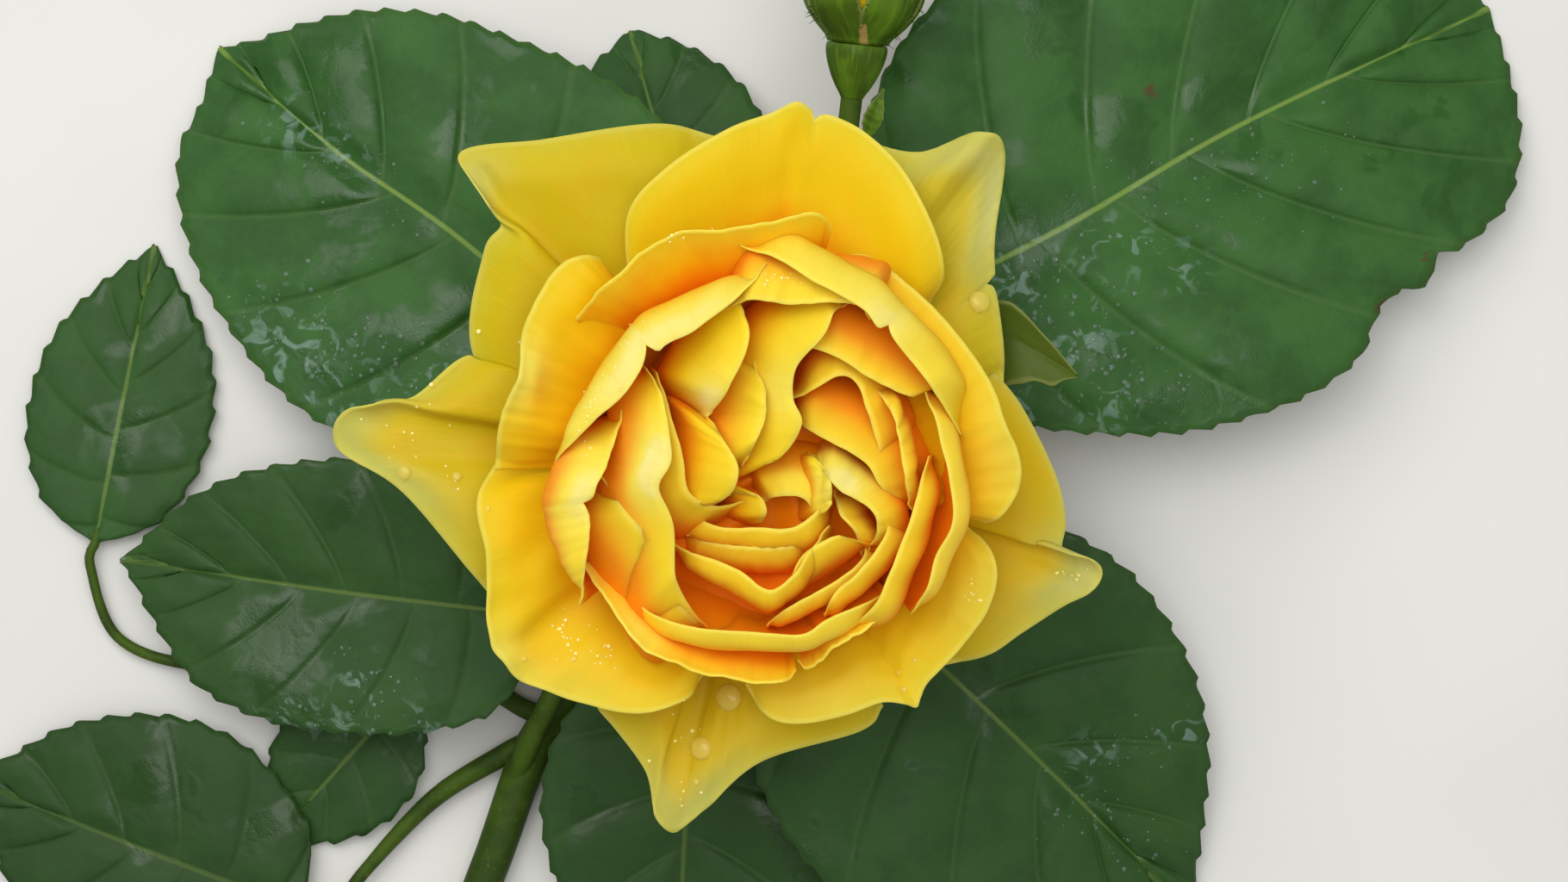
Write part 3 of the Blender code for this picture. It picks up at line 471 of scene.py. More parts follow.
def petal_grid(seed, shape):
    """The middle surface of one petal: rows from foot to margin, columns along the margin."""
    columns, rows = shape["grid"]
    rim = smooth_line(shape["margin"], columns)
    run = run_along(rim)
    u, t = np.linspace(0, 1, columns)[None, :], np.linspace(0, 1, rows)[:, None]
    away = rim[:, :2] - np.array(shape["heart"])
    away = np.column_stack([away / np.linalg.norm(away, axis=1, keepdims=True), np.zeros(columns)])
    up = np.array((0, 0, 1.0))
    tucked = soft_step(u[0], 0, TUCKED_SHARE) * soft_step(1 - u[0], 0, TUCKED_SHARE)

    def past(x, y, half):
        """How far each column is past a place of the margin, in half widths."""
        return (run - run[np.argmin(np.hypot(rim[:, 0] - x, rim[:, 1] - y))]) / half

    foot = away * PETAL_FOOT_RADIUS + up * PETAL_FOOT_HEIGHT
    at_start, at_end = shape["narrows"]
    full = 1 - at_start * soft_step(1 - u[0], 0.4, 1) - at_end * soft_step(u[0], 0.4, 1)
    band = shape["band"] * full[:, None]
    if shape["belly"]:
        out, down = shape["belly"][0] * band, shape["belly"][1]
        belly = rim + away * out * (0.35 + 0.65 * tucked[:, None]) - up * down
    else:
        rise = math.radians(shape["rise"])
        belly = foot + (away * math.cos(rise) + up * math.sin(rise)) * shape["body"]
    lean = np.radians(shape["ends"] + (shape["lean"] - shape["ends"]) * tucked)[:, None]
    neck = rim - (away * np.cos(lean) + up * np.sin(lean)) * shape["hook"] * band
    reach = t * np.ones_like(u)
    for x, y, half, depth in shape["tears"]:
        gone = past(x, y, half)
        torn = np.where(gone > 0, np.exp(-gone * TEAR_SIDES[0]), np.exp(gone * TEAR_SIDES[1]))
        reach = reach * (1 - depth / PETAL_LENGTH * torn * soft_step(t, 0.75, 1.0))
    reach = reach[:, :, None]
    left = 1 - reach
    grid = left**3 * foot + 3 * left**2 * reach * belly + 3 * left * reach**2 * neck + reach**3 * rim

    open_margin = soft_step(u, 0, OPEN_SHARE) * soft_step(1 - u, 0, OPEN_SHARE)
    uneven = ripples(u, t, seed) * shape["wave"] * soft_step(t, 0.25, 0.8)
    fine = ripples(u, t, seed + 500, 17.0, 1.0) * shape["wave"] * 0.22 * soft_step(t, 0.7, 1.0)
    normal = normals_of(grid)
    normal = normal * np.sign(normal[:, :, 2:3].mean())
    creased = 0
    for x, y, to_x, to_y, half, height in shape["creases"]:
        way = np.array((to_x - x, to_y - y))
        share = np.clip(((grid[..., 0] - x) * way[0] + (grid[..., 1] - y) * way[1]) / (way @ way), 0, 1)
        off = np.hypot(grid[..., 0] - x - share * way[0], grid[..., 1] - y - share * way[1])
        creased = creased + height * np.exp(-((off / half) ** 2)) * (1 - 0.5 * share)
    grid = grid + normal * ((uneven + fine) * open_margin + creased)[:, :, None]
    lip = soft_step(t, 0.84, 1.0) ** 1.5 * open_margin
    grid = grid - up * (lip * shape["roll"])[:, :, None]
    for x, y, half, lift, pull in shape["folds"]:
        fold = np.exp(-(past(x, y, half) ** 2))[None, :] * soft_step(t, 0.80, 1.0) ** 1.3
        grid = grid + up * (fold * lift)[:, :, None] - away[None] * (fold * pull)[:, :, None]

    # Painted highlight: the turned-in back and the given pale places are made paler, as if lit.
    pale = shape["pale_back_highlight"] * tucked[None, :] * np.ones_like(t)
    for x, y, radius, strength in shape["pale"]:
        pale = pale + strength * near(grid, x, y, radius)
    return grid, t * np.ones_like(u), u * np.ones_like(t), pale


def keep(mesh, label, values):
    """Keeps a number, or three, at each of a mesh's points."""
    values = np.asarray(values, np.float32)
    kind, field = ("FLOAT_VECTOR", "vector") if values.shape[1:] == (3,) else ("FLOAT", "value")
    mesh.attributes.new(label, kind, "POINT").data.foreach_set(field, values.ravel())


def blade_object(name, blades, finish):
    """One mesh of closed thin blades. Each is (grid, thickness, sign of its front, {attribute: values}), and the
    attributes are kept at every point, with back telling the two sides apart."""
    points, faces, kept, start = [], [], {}, 0
    for grid, thickness, front, facts in blades:
        rows, columns = grid.shape[:2]
        count = rows * columns
        normal = normals_of(grid) * front
        half = np.broadcast_to(np.asarray(thickness, float) / 2, (rows, columns))[:, :, None]
        points += [(grid + normal * half).reshape(-1, 3), (grid - normal * half).reshape(-1, 3)]
        number = np.arange(count).reshape(rows, columns) + start
        quads = np.stack([number[:-1, :-1], number[:-1, 1:], number[1:, 1:], number[1:, :-1]], axis=2).reshape(-1, 4)
        border = np.concatenate([number[0], number[1:, -1], number[-1, -2::-1], number[-2:0:-1, 0]])
        following = np.roll(border, -1)
        wall = np.stack([border + count, following + count, following, border], axis=1)
        for part in (quads, quads[:, ::-1] + count, wall):
            faces.append(part if front > 0 else part[:, ::-1])
        sides = {label: [np.asarray(values, float).reshape(count, -1)] * 2 for label, values in facts.items()}
        sides["back"] = [np.zeros((count, 1)), np.ones((count, 1))]
        for label, pair in sides.items():
            kept.setdefault(label, []).extend(pair)
        start += 2 * count
    mesh = bpy.data.meshes.new(name)
    mesh.from_pydata(to_frame(np.vstack(points)), [], np.vstack(faces).tolist())
    for label, parts in kept.items():
        keep(mesh, label, np.vstack(parts))
    mesh.shade_smooth()
    mesh.materials.append(finish)
    return placed(name, mesh)


def petal_material():
    """Lemon lips, golden blade and orange depths, the depths partly own colour and partly painted shade, with
    painted highlights on pale places and along the rim, and fine lengthwise veins.
    """
    made, tree, shader = new_material("yellow_petal", 0.5, Specular_IOR_Level=0.11, Subsurface_Weight=0.4,
                                      Subsurface_Radius=(1.0, 0.72, 0.10), Subsurface_Scale=0.0016)
    margin, back, tone, orange, pale, lemon = (
        kept_value(tree, label) for label in ("margin", "back", "tone", "orange", "pale", "lemon"))
    lay = kept_value(tree, "lay", "Vector")
    stretched = add_node(tree, "ShaderNodeMapping", Vector=lay, Scale=(1.0, 0.10, 1.0))
    veins = noise(tree, stretched.outputs[0], 1.7, Detail=5.0)
    uneven = sum_up(tree, "ADD", noise(tree, lay, 0.16, Detail=3.0), -0.5)
    # deep: the orange of the depths, partly the petal's own colour and partly painted shade where light hardly reaches.
    deep = sum_up(tree, "MULTIPLY_ADD", uneven, 0.35, orange, clamp=True)
    wander = sum_up(tree, "MULTIPLY_ADD", uneven, 4.0, margin)
    # Painted highlight: pale places, fading within a few millimetres of the margin.
    painted_highlight = sum_up(tree, "MULTIPLY", pale, ramp(tree, wander, 1.0, 9.5, 1.0, 0.12))
    body, highlight_tint, bright_highlight, lip, rim = (blend(tree, fresh, (lemon, old)) for fresh, old in FRESH_AND_FADED)
    # The inner face is deeper orange where it is deep: partly its own colour and partly painted shade.
    front_orange_and_shade = sum_up(tree, "MULTIPLY", sum_up(tree, "SUBTRACT", 1.0, back), ramp(tree, deep, 0.1, 0.7, 0.0, 0.62))
    colour = blend(
        tree, body,
        # tone: a petal's warm tint, partly its own and partly painted shade on petals that lie in shade
        (sum_up(tree, "MULTIPLY", tone, 0.24), WARM),
        (deep, DEEP_ORANGE_AND_SHADE),
        (sum_up(tree, "MINIMUM", painted_highlight, 1.0), highlight_tint),
        (ramp(tree, painted_highlight, 1.0, 1.7, 0.0, 0.8), bright_highlight),
        (ramp(tree, wander, 0.0, 4.0, 0.32, 0.0), lip),
        # Painted highlight: a brighter rim, as light through the thin edge.
        (ramp(tree, margin, 0.2, 1.0, 0.5, 0.0), rim),
        (ramp(tree, veins, 0.48, 0.72, 0.0, 0.14), VEIN_GOLD),
        (front_orange_and_shade, FRONT_ORANGE_AND_SHADE))
    dress(tree, shader, colour, veins, 0.16, 0.0003)
    return made


def petal_facts(margin, lay, **rest):
    """What the petals' material reads at each point, where one number stands for the whole blade."""
    return {"margin": margin, "lay": lay} | {label: value + 0 * margin for label, value in rest.items()}


def petals(name, entries, first):
    """One whorl's petals as a single piece."""
    blades = []
    for index, shape in enumerate(entries, first):
        grid, t, u, pale = petal_grid(index, shape)
        to_rim = np.cumsum(np.linalg.norm(np.diff(grid[::-1], axis=0), axis=2), axis=0)
        to_rim = np.vstack([np.zeros((1, grid.shape[1])), to_rim])[::-1]
        along_rim = u * np.linalg.norm(np.diff(grid[-1], axis=0), axis=1).sum()
        row, column = int(grid.shape[0] * 0.7), grid.shape[1] // 2
        inwards = np.array((*shape["heart"], grid[row, column, 2] + 20)) - grid[row, column]
        thickness = shape["thick"] * (1 - 0.55 * soft_step(t, 0.85, 1.0))
        # Painted shade: more orange on steep walls and low in the bloom, where light hardly reaches.
        steep_shade = shape["steep_shade"] * soft_step(1 - np.abs(normals_of(grid)[:, :, 2]), 0.15, 0.85)
        low = shape["low"] * soft_step(LOW_SHADE_HEIGHT - grid[:, :, 2], 0, LOW_SHADE_FADE)
        lay = np.stack([along_rim, to_rim, np.full_like(t, index * 60.0)], axis=2)
        facts = petal_facts(to_rim, lay, tone=shape.get("tone", np.random.default_rng(index).uniform(0, 1)),
                            orange=np.clip(soft_step(to_rim, *shape["orange"]) + steep_shade + low, 0, 1), pale=pale,
                            lemon=shape["lemon"])
        blades.append((grid, thickness, front_sign(grid, row, column, inwards), facts))
    return fit(blade_object(name, blades, yellow_petal), "petals", "bloom")


def packed_feet():
    """The feet of the innermost petals, pressed together into a ridged cushion that closes the flower's middle."""
    t = np.linspace(0.02, 1, 60)[:, None]
    angle = np.linspace(0, math.tau, 241)[None, :]
    radius = FEET_RADIUS * t
    turn = angle * FEET_RIDGES + 9 * t + 0.8 * np.sin(3 * angle + 4 * t)
    height = FEET_HEIGHT - 1.2 * t - 5.5 * t**3 + 1.1 * np.sin(turn) * np.sin(math.pi * t) ** 0.5
    x, y = FEET_MIDDLE[0] + radius * np.cos(angle), FEET_MIDDLE[1] + radius * np.sin(angle)
    grid = np.stack([x, y, height], axis=2)
    lay = np.stack([radius * angle, radius + 0 * angle, np.full_like(height, 950.0)], axis=2)
    # The cushion sits deep in the flower: nearly full orange, partly its own colour and partly painted shade.
    facts = petal_facts(np.full_like(height, 30.0), lay, tone=1.0, orange=0.9 + 0.1 * np.sin(turn), pale=0, lemon=0)
    blade = (grid, 0.5, front_sign(grid, 30, 30, (0, 0, 1)), facts)
    return fit(blade_object("petal_feet", [blade], yellow_petal), "petals", "bloom")


yellow_petal = petal_material()
guards = petals("guard_petals", GUARDS, 1)
whorl = petals("whorl_petals", WHORL, 11)
bowl = petals("bowl_petals", BOWL, 21)
swirl = petals("swirl_petals", SWIRL, 41)
packed_feet()

# ---- Leaflets
# Broad glossy blades with a pale midrib, five to eight pairs of side veins that curve forward, quilted panels
# between them and fine forward teeth. They are wet, so the upper side shines, and where rain has left a film a
# pale sheen is painted into its colour as a painted reflection; the underside is dull and pale.

LEAF_TOP, LEAF_PANEL, LEAF_DEEP = (0.020, 0.088, 0.012), (0.036, 0.130, 0.020), (0.016, 0.074, 0.009)
LEAF_NET, LEAF_CELLS, LEAF_SHADE_COLOUR = (0.025, 0.075, 0.020), (0.045, 0.13, 0.030), (0.014, 0.042, 0.006)
SIDE_VEIN_COLOUR, MIDRIB_COLOUR, MARGIN_COLOUR = (0.072, 0.155, 0.034), (0.19, 0.31, 0.05), (0.085, 0.16, 0.03)
PAINTED_SHEEN_COLOUR, DRY_COLOUR = (0.22, 0.33, 0.28), (0.075, 0.050, 0.016)
LEAF_UNDER, UNDER_VEIN_COLOUR, UNDER_ROUGHNESS = (0.12, 0.20, 0.10), (0.20, 0.30, 0.14), (0.65, 0.65, 0.65)
LEAF_THICKNESS, TOOTH_PITCH, TOOTH_DEPTH = 0.5, 4.4, 0.7
TOOTH_BACK, TOOTH_FRONT = 0.8, 0.2
PANEL_SWELL, BLADE_SWELL, MIDRIB_GROOVE, LEAF_CLEARANCE = 0.038, 0.020, 0.45, 0.55
# How much painted shade darkens the lower leaflets towards olive, and how much the rest get.
LEAF_PAINTED_SHADE = {"leaf_left": 0.75, "leaf_lower_right": 0.7, "leaf_bottom": 0.9, "leaf_bottom_left": 0.95,
             "leaf_low": 0.8, "leaf_far_left": 0.6, "leaf_top": 0.6}
UPPER_LEAF_SHADE = 0.15
# Where rain has left a film on the leaves, whose sheen is painted in as a pale reflection, and where they are
# brown and dry: places seen from above and radii.
PAINTED_SHEEN_PLACES = ((-69, 15, 8), (-61, 10.5, 6), (-46, 11, 5), (-66.5, 48.5, 4), (-58, 44, 3), (38, 26, 6), (45, 21, 6),
              (52, 31, 4), (44, 13, 6), (38.5, 8, 6), (60, 28, 4), (50, 8, 4), (-67, -36.8, 4), (-57, -38, 4),
              (-48, -38.5, 3), (-56, -31.5, 3), (49, -43, 3), (62, -39.5, 3))
DRY_PLACES = ((56.8, 52.7, 1.3), (90.6, 22.0, 1.5), (96.6, 29.4, 1.0))
# Foot, bearing of the tip, length, arch and height of the tip, how high the margins stand, bend of the midrib as
# (place, sideways), and each side's margin from foot to tip as (share of the length, half width), with None for a
# right side like the left. Left is to the left of someone looking to the tip. The last numbers are the veins on a
# side and the mesh's rows and columns. The first leaflet's right margin is torn.
LEAVES = {
    "leaf_upper_right": ((14.5, 18.5, 16.0), 27.0, 105, 5.0, 0.7, 1.5, ((0, 0), (0.3, -0.6), (0.6, 1.1), (1, 0)),
        ((0.03, 9), (0.1, 20), (0.208, 31.3), (0.33, 37), (0.5, 39), (0.68, 35.5), (0.83, 26), (0.93, 14),
         (0.975, 6)),
        ((0.03, 8), (0.09, 17), (0.168, 24.5), (0.28, 31.5), (0.38, 35.5), (0.509, 37.5), (0.59, 36.4), (0.618, 34.6),
         (0.645, 32.0), (0.683, 30.3), (0.718, 31.2), (0.744, 30.6), (0.76, 28.3), (0.8, 28.9), (0.845, 28.0),
         (0.9, 25.5), (0.955, 18), (0.985, 8)), 8, (196, 30)),
    "leaf_upper_left": ((-17.5, 10.0, 15.0), 140.5, 79, 4.0, 0.7, 1.0, ((0, 0), (0.4, -1.1), (0.7, 0.6), (1, 0)),
        ((0.03, 8), (0.1, 18), (0.22, 27.5), (0.376, 31.4), (0.494, 32), (0.6, 30.6), (0.73, 27.4), (0.844, 22.2),
         (0.929, 15.2), (0.955, 8)),
        ((0.03, 9), (0.1, 20), (0.18, 28), (0.277, 32.2), (0.427, 31.2), (0.58, 27.8), (0.708, 24), (0.821, 17.8),
         (0.9, 10.5), (0.95, 4.5)), 7, (168, 28)),
    "leaf_left": ((-30.5, -22.5, 12.5), 173.0, 62, 1.5, 6.0, 2.0, ((0, 0), (0.5, 0.2), (1, -0.4)),
        ((0.02, 8), (0.08, 14), (0.17, 17), (0.329, 19.4), (0.565, 19.8), (0.735, 17.2), (0.817, 13.6), (0.9, 7.5),
         (0.96, 2.5)),
        ((0.03, 8), (0.1, 14.5), (0.22, 18.4), (0.38, 19.2), (0.54, 18.2), (0.718, 15), (0.856, 9.8), (0.947, 3.6)),
         7, (140, 22)),
    "leaf_lower_right": ((4.5, -14.0, 14.5), 318.5, 80, 5.0, 0.7, 1.0,
        ((0, 0), (0.19, 2.3), (0.36, 3.0), (0.71, 1.7), (1, 0)),
        ((0.03, 9), (0.1, 19), (0.2, 26), (0.35, 29.4), (0.495, 30.8), (0.665, 27.3), (0.8, 20.1), (0.907, 9.6),
         (0.955, 4)),
        ((0.03, 8), (0.1, 17), (0.2, 24.5), (0.34, 29.5), (0.5, 30.5), (0.66, 27), (0.79, 20.5), (0.9, 10.5),
         (0.955, 4)), 7, (172, 28)),
    "leaf_bottom": ((-8.5, -26.5, 9.2), 267.0, 66, 2.0, 0.7, 0.5, ((0, 0), (1, 0)),
        ((0.03, 8), (0.1, 16), (0.22, 22), (0.38, 24.2), (0.54, 22.5), (0.7, 18), (0.84, 11), (0.94, 4.5)),
        ((0.03, 7), (0.1, 14), (0.203, 18.4), (0.3, 20.4), (0.42, 20.4), (0.56, 17.6), (0.72, 13), (0.86, 7.5),
         (0.95, 3)), 7, (132, 20)),
    "leaf_bottom_left": ((-66.0, -66.0, 3.2), 159.0, 52, 2.0, 0.7, 0.4, ((0, 0), (1, 0)),
        ((0.03, 7), (0.1, 13), (0.25, 18.5), (0.45, 20), (0.62, 18), (0.78, 12.5), (0.9, 6.5), (0.96, 2.5)),
        ((0.03, 7), (0.09, 12.6), (0.281, 18.6), (0.444, 20), (0.61, 18.2), (0.792, 12.8), (0.918, 5.6)), 6,
         (120, 18)),
    "leaf_low": ((-51.0, -34.5, 3.0), 228.0, 30, 0.8, 0.7, 0.2, ((0, 0), (1, 0)),
        ((0.04, 4), (0.14, 7.5), (0.32, 10.2), (0.52, 10.2), (0.7, 8), (0.86, 4.2), (0.95, 1.6)),
        None, 5, (80, 12)),
    "leaf_far_left": ((-96.5, -12.0, 2.2), 79.0, 44, 0.5, 0.7, 0.2, ((0, 0), (1, 0)),
        ((0.03, 4), (0.12, 9), (0.3, 12.6), (0.5, 13), (0.68, 11), (0.84, 6.4), (0.95, 2)),
        None, 6, (100, 14)),
    "leaf_top": ((-9.0, 29.0, 7.5), 105.0, 35, 2.0, 0.7, 0.6, ((0, 0), (1, 0)),
        ((0.04, 6), (0.14, 11), (0.32, 14.6), (0.52, 14.8), (0.7, 12.4), (0.86, 7.6), (0.95, 3)),
        None, 5, (88, 14)),
}


def leaf_blade(seed, foot, bearing, length, arch, tip_height, lift, bend, left, right, veins, mesh_size):
    """The middle surface of a leaflet. Every row of its mesh leaves the midrib and sweeps forward to the margin,
    as the side veins do, so the veins and the panels between them follow the rows."""
    rows, columns = mesh_size
    m = np.linspace(0, 1, rows)
    midrib = np.column_stack([m * length, smooth_line([(p * length, s) for p, s in bend], rows)[:, 1]])
    right = right or left
    plans, shares = [], []
    for sign, margin in ((1, left), (-1, right)):
        edge = smooth_line([(0, 0), *[(p * length, w * sign) for p, w in margin], (length, 0)], 1200)
        run = run_along(edge)
        place = run[-1] * (1 - (1 - m) ** 1.8)
        rim = np.stack([np.interp(place, run, edge[:, axis]) for axis in (0, 1)], axis=1)
        outwards = np.gradient(rim, axis=0)
        outwards = np.stack([-outwards[:, 1], outwards[:, 0]], axis=1) * sign
        outwards /= np.maximum(np.linalg.norm(outwards, axis=1, keepdims=True), 1e-9)
        tooth = (place / TOOTH_PITCH + 0.3 * seed) % 1.0
        saw = np.where(tooth < TOOTH_BACK, (tooth / TOOTH_BACK) ** 1.3, (1 - tooth) / TOOTH_FRONT)
        height = TOOTH_DEPTH * saw
        height *= soft_step(m, 0.03, 0.12) * (0.35 + 0.65 * soft_step(1 - m, 0.0, 0.25))
        c = np.linspace(0, 1, columns + 1)[None, :] ** 1.15
        behind = rim - midrib
        reach = np.linalg.norm(behind, axis=1, keepdims=True)
        control = midrib + behind * 0.5 + np.concatenate([-0.10 * reach, 0.02 * reach * sign], axis=1)
        rim = rim + outwards * height[:, None]
        near_share, mid_share, far_share = ((1 - c) ** 2)[:, :, None], (2 * c * (1 - c))[:, :, None], (c**2)[:, :, None]
        plans.append(near_share * midrib[:, None] + mid_share * control[:, None] + far_share * rim[:, None])
        shares.append(c)
    plan = np.concatenate([plans[1][:, ::-1], plans[0][:, 1:]], axis=1)
    c = np.concatenate([-shares[1][:, ::-1], shares[0][:, 1:]], axis=1) * np.ones((rows, 1))

    wide = max(w for _, w in (*left, *right))
    across = np.abs(plan[:, :, 1] - np.interp(plan[:, :, 0], midrib[:, 0], midrib[:, 1]))
    ahead = np.clip(plan[:, :, 0] / length, 0, 1)
    height = foot[2] + (tip_height - foot[2]) * ahead + arch * 4 * ahead * (1 - ahead) + lift * across / wide
    phase = (m[:, None] ** 0.92 * (veins + 0.6) + 0.45) * np.ones_like(c) + 0.12 * np.sign(c)
    panel = np.sin(math.pi * (phase % 1.0) ** 0.6) ** 0.8
    inner = soft_step(np.abs(c), 0.02, 0.22) * soft_step(1 - np.abs(c), 0.0, 0.28)
    inner = inner * soft_step(1 - m, 0.02, 0.22)[:, None]
    height = height + panel * inner * PANEL_SWELL * wide
    swell = ripples(c * 0.5 + 0.5, m[:, None], seed + 90, 2.4, 2.4) * soft_step(np.abs(c), 0.1, 0.9)
    height = height + swell * BLADE_SWELL * wide * (0.4 + 0.6 * soft_step(ahead, 0.1, 0.4))
    height = height - MIDRIB_GROOVE * np.exp(-((across / 0.7) ** 2)) * (1 - 0.7 * m[:, None])
    height = np.maximum(height, LEAF_CLEARANCE)

    turn = math.radians(bearing)
    x, y = plan[:, :, 0], plan[:, :, 1]
    grid = np.stack([foot[0] + x * math.cos(turn) - y * math.sin(turn),
                     foot[1] + x * math.sin(turn) + y * math.cos(turn), height], axis=2)
    side_vein = np.minimum(phase % 1.0, 1 - phase % 1.0) * length / (veins + 1)
    lay = np.stack([x, y, np.full_like(height, seed * 37.0)], axis=2)
    return grid, lay, np.stack([side_vein, across, np.abs(c)], axis=2)


def leaf_material():
    made, tree, shader = new_material("wet_leaf", 0.45, Specular_IOR_Level=0.30, Coat_Weight=0.05,
                                      Coat_Roughness=0.18, Coat_IOR=1.33)
    lay = kept_value(tree, "lay", "Vector")
    ribs = add_node(tree, "ShaderNodeSeparateXYZ", Vector=kept_value(tree, "ribs", "Vector"))
    side_vein, midrib, out = ribs.outputs[:3]
    back, old, film_sheen, dry = (kept_value(tree, label) for label in ("back", "leaf_shade", "film_sheen", "dry"))
    cells, fine = (
        add_node(tree, "ShaderNodeTexVoronoi", feature="DISTANCE_TO_EDGE", Vector=lay, Scale=scale).outputs[0]
        for scale in (0.30, 1.3))
    patches = noise(tree, lay, 0.09, Detail=4.0, Roughness=0.6)
    grain = noise(tree, lay, 2.2, Detail=3.0)
    wet = ramp(tree, noise(tree, lay, 0.075, Detail=5.0, Distortion=0.6), 0.53, 0.61)
    streaks = noise(tree, lay, 0.30, Detail=6.0, Distortion=1.2)
    browned = sum_up(tree, "MULTIPLY_ADD", dry, 0.55, grain)
    under = blend(tree, LEAF_UNDER, (ramp(tree, side_vein, 0.1, 0.6, 0.6, 0.0), UNDER_VEIN_COLOUR))
    colour = blend(
        tree, LEAF_TOP,
        (ramp(tree, patches, 0.36, 0.64), LEAF_PANEL),
        (sum_up(tree, "MULTIPLY", wet, 0.55), LEAF_DEEP),
        (ramp(tree, fine, 0.02, 0.14, 0.14, 0.0), LEAF_NET),
        (ramp(tree, cells, 0.02, 0.12, 0.10, 0.0), LEAF_CELLS),
        (ramp(tree, side_vein, 0.1, 0.5, 0.38, 0.0), SIDE_VEIN_COLOUR),
        (ramp(tree, midrib, 0.2, 0.62, 0.85, 0.0), MIDRIB_COLOUR),
        (ramp(tree, out, 0.97, 1.0, 0.0, 0.4), MARGIN_COLOUR),
        # painted shade: lower leaflets darkened towards olive
        (sum_up(tree, "MULTIPLY", old, 0.8), LEAF_SHADE_COLOUR),
        # painted reflection: the sheen of the rain film, pale grey-green in streaks
        (sum_up(tree, "MULTIPLY", film_sheen, ramp(tree, streaks, 0.54, 0.64, 0.0, 0.55)), PAINTED_SHEEN_COLOUR),
        (ramp(tree, browned, 0.78, 0.92), DRY_COLOUR),
        (back, under))
    rough = sum_up(tree, "MULTIPLY_ADD", grain, 0.12, sum_up(tree, "MULTIPLY_ADD", wet, -0.40, 0.62))
    tree.links.new(blend(tree, rough, (back, UNDER_ROUGHNESS)), shader.inputs["Roughness"])
    relief = sum_up(tree, "ADD", ramp(tree, cells, 0.0, 0.25, 0.0, 0.35), ramp(tree, fine, 0.0, 0.25, 0.0, 0.10))
    relief = sum_up(tree, "ADD", relief, ramp(tree, side_vein, 0.0, 0.7, 0.0, 0.8))
    dress(tree, shader, colour, sum_up(tree, "MULTIPLY_ADD", grain, 0.25, relief), 0.3, 0.0003)
    return made


wet_leaf = leaf_material()
leaf_pieces = []
for seed, (name, sizes) in enumerate(LEAVES.items(), 1):
    grid, lay, ribs = leaf_blade(seed, *sizes)
    from_midrib, out = ribs[:, :, 1], ribs[:, :, 2]
    film_sheen, dry = (sum(near(grid, *place) for place in places).clip(0, 1) for places in (PAINTED_SHEEN_PLACES, DRY_PLACES))
    facts = {"lay": lay, "ribs": ribs, "leaf_shade": np.full_like(out, LEAF_PAINTED_SHADE.get(name, UPPER_LEAF_SHADE)), "film_sheen": film_sheen,
             "dry": dry}
    thickness = LEAF_THICKNESS * np.clip(0.45 + 0.55 * (1 - out**6) + 0.9 * np.exp(-((from_midrib / 1.0) ** 2)), 0, 2)
    blade = (grid, thickness, front_sign(grid, 10, 10, (0, 0, 1)), facts)
    leaf_pieces.append(fit(blade_object(name + "_blade", [blade], wet_leaf), "leaf_blade", name))

# ---- Leaf stalks
# A leaf's stalk carries its leaflets in pairs and one at its end. It is slender, green and round, thickest where
# it leaves the cane, and runs on under the foot of each blade.

STALK_RUN, STALK_GAP, STALK_TIP = 4.0, 0.3, (1.5, 0.35)


def stalk_end(name):
    """The last places of a stalk, in line with its leaflet, up to the foot of the blade."""
    foot, bearing = LEAVES[name][:2]
    turn = math.radians(bearing)
    foot, ahead = np.array(foot), np.array((math.cos(turn), math.sin(turn), 0))
    tip = foot + ahead * STALK_TIP[0] - (0, 0, STALK_TIP[1])
    return tuple(foot - ahead * STALK_RUN), tuple(foot - ahead * STALK_GAP), tuple(tip)


# Each stalk's runs, main one first: places, radii from its start to its end, and how many points it has.
LEAF_STALKS = {
    "stalk_main": (
        (((-34.6, -46.0, 4.4), (-31.2, -38.5, 8.1), (-25, -26, 9.9), (-14, -4, 13.2), (0, 12, 15.2),
          *stalk_end("leaf_upper_right")), (1.7, 1.5, 1.2, 1.1, 1.0, 0.9, 0.7), 80),
        (((-14, -4, 13.2), (-13.6, 2, 14.2), *stalk_end("leaf_upper_left")), (1.0, 0.9, 0.8, 0.7), 26),
        (((-14, -4.5, 13.2), (-6, -8.5, 13.9), *stalk_end("leaf_lower_right")), (1.0, 0.9, 0.8, 0.7), 26),
        (((-25, -26, 9.9), (-26.2, -23.6, 11.2), *stalk_end("leaf_left")), (1.0, 0.9, 0.8, 0.7), 18),
        (((-25, -26, 9.9), (-16, -22.8, 10.0), *stalk_end("leaf_bottom")), (1.0, 0.9, 0.8, 0.7), 26),
    ),
    "stalk_low": (
        (((-28.8, -38.2, 3.4), (-33.2, -36.8, 3.0), (-42, -32.5, 2.4), (-60, -29.5, 2.2), (-80, -30.5, 2.0),
          (-93, -26.5, 1.9), *stalk_end("leaf_far_left")), (1.5, 1.2, 0.95, 0.8, 0.7), 80),
        (((-44, -32, 2.4), (-46.4, -31.4, 2.7), *stalk_end("leaf_low")), (0.8, 0.7), 14),
    ),
    "stalk_outer": (
        (((-31.5, -41.0, 3.2), (-36.9, -43.6, 2.6), (-47, -50, 2.4), (-57, -60.5, 2.6),
          *stalk_end("leaf_bottom_left")), (1.7, 1.4, 1.0, 0.8), 44),
    ),
    "stalk_top": (
        (((-7.8, -6.4, 7.4), (-9, 6, 6.8), (-8.6, 18, 7.0), *stalk_end("leaf_top")), (1.0, 0.8, 0.7), 44),
    ),
}
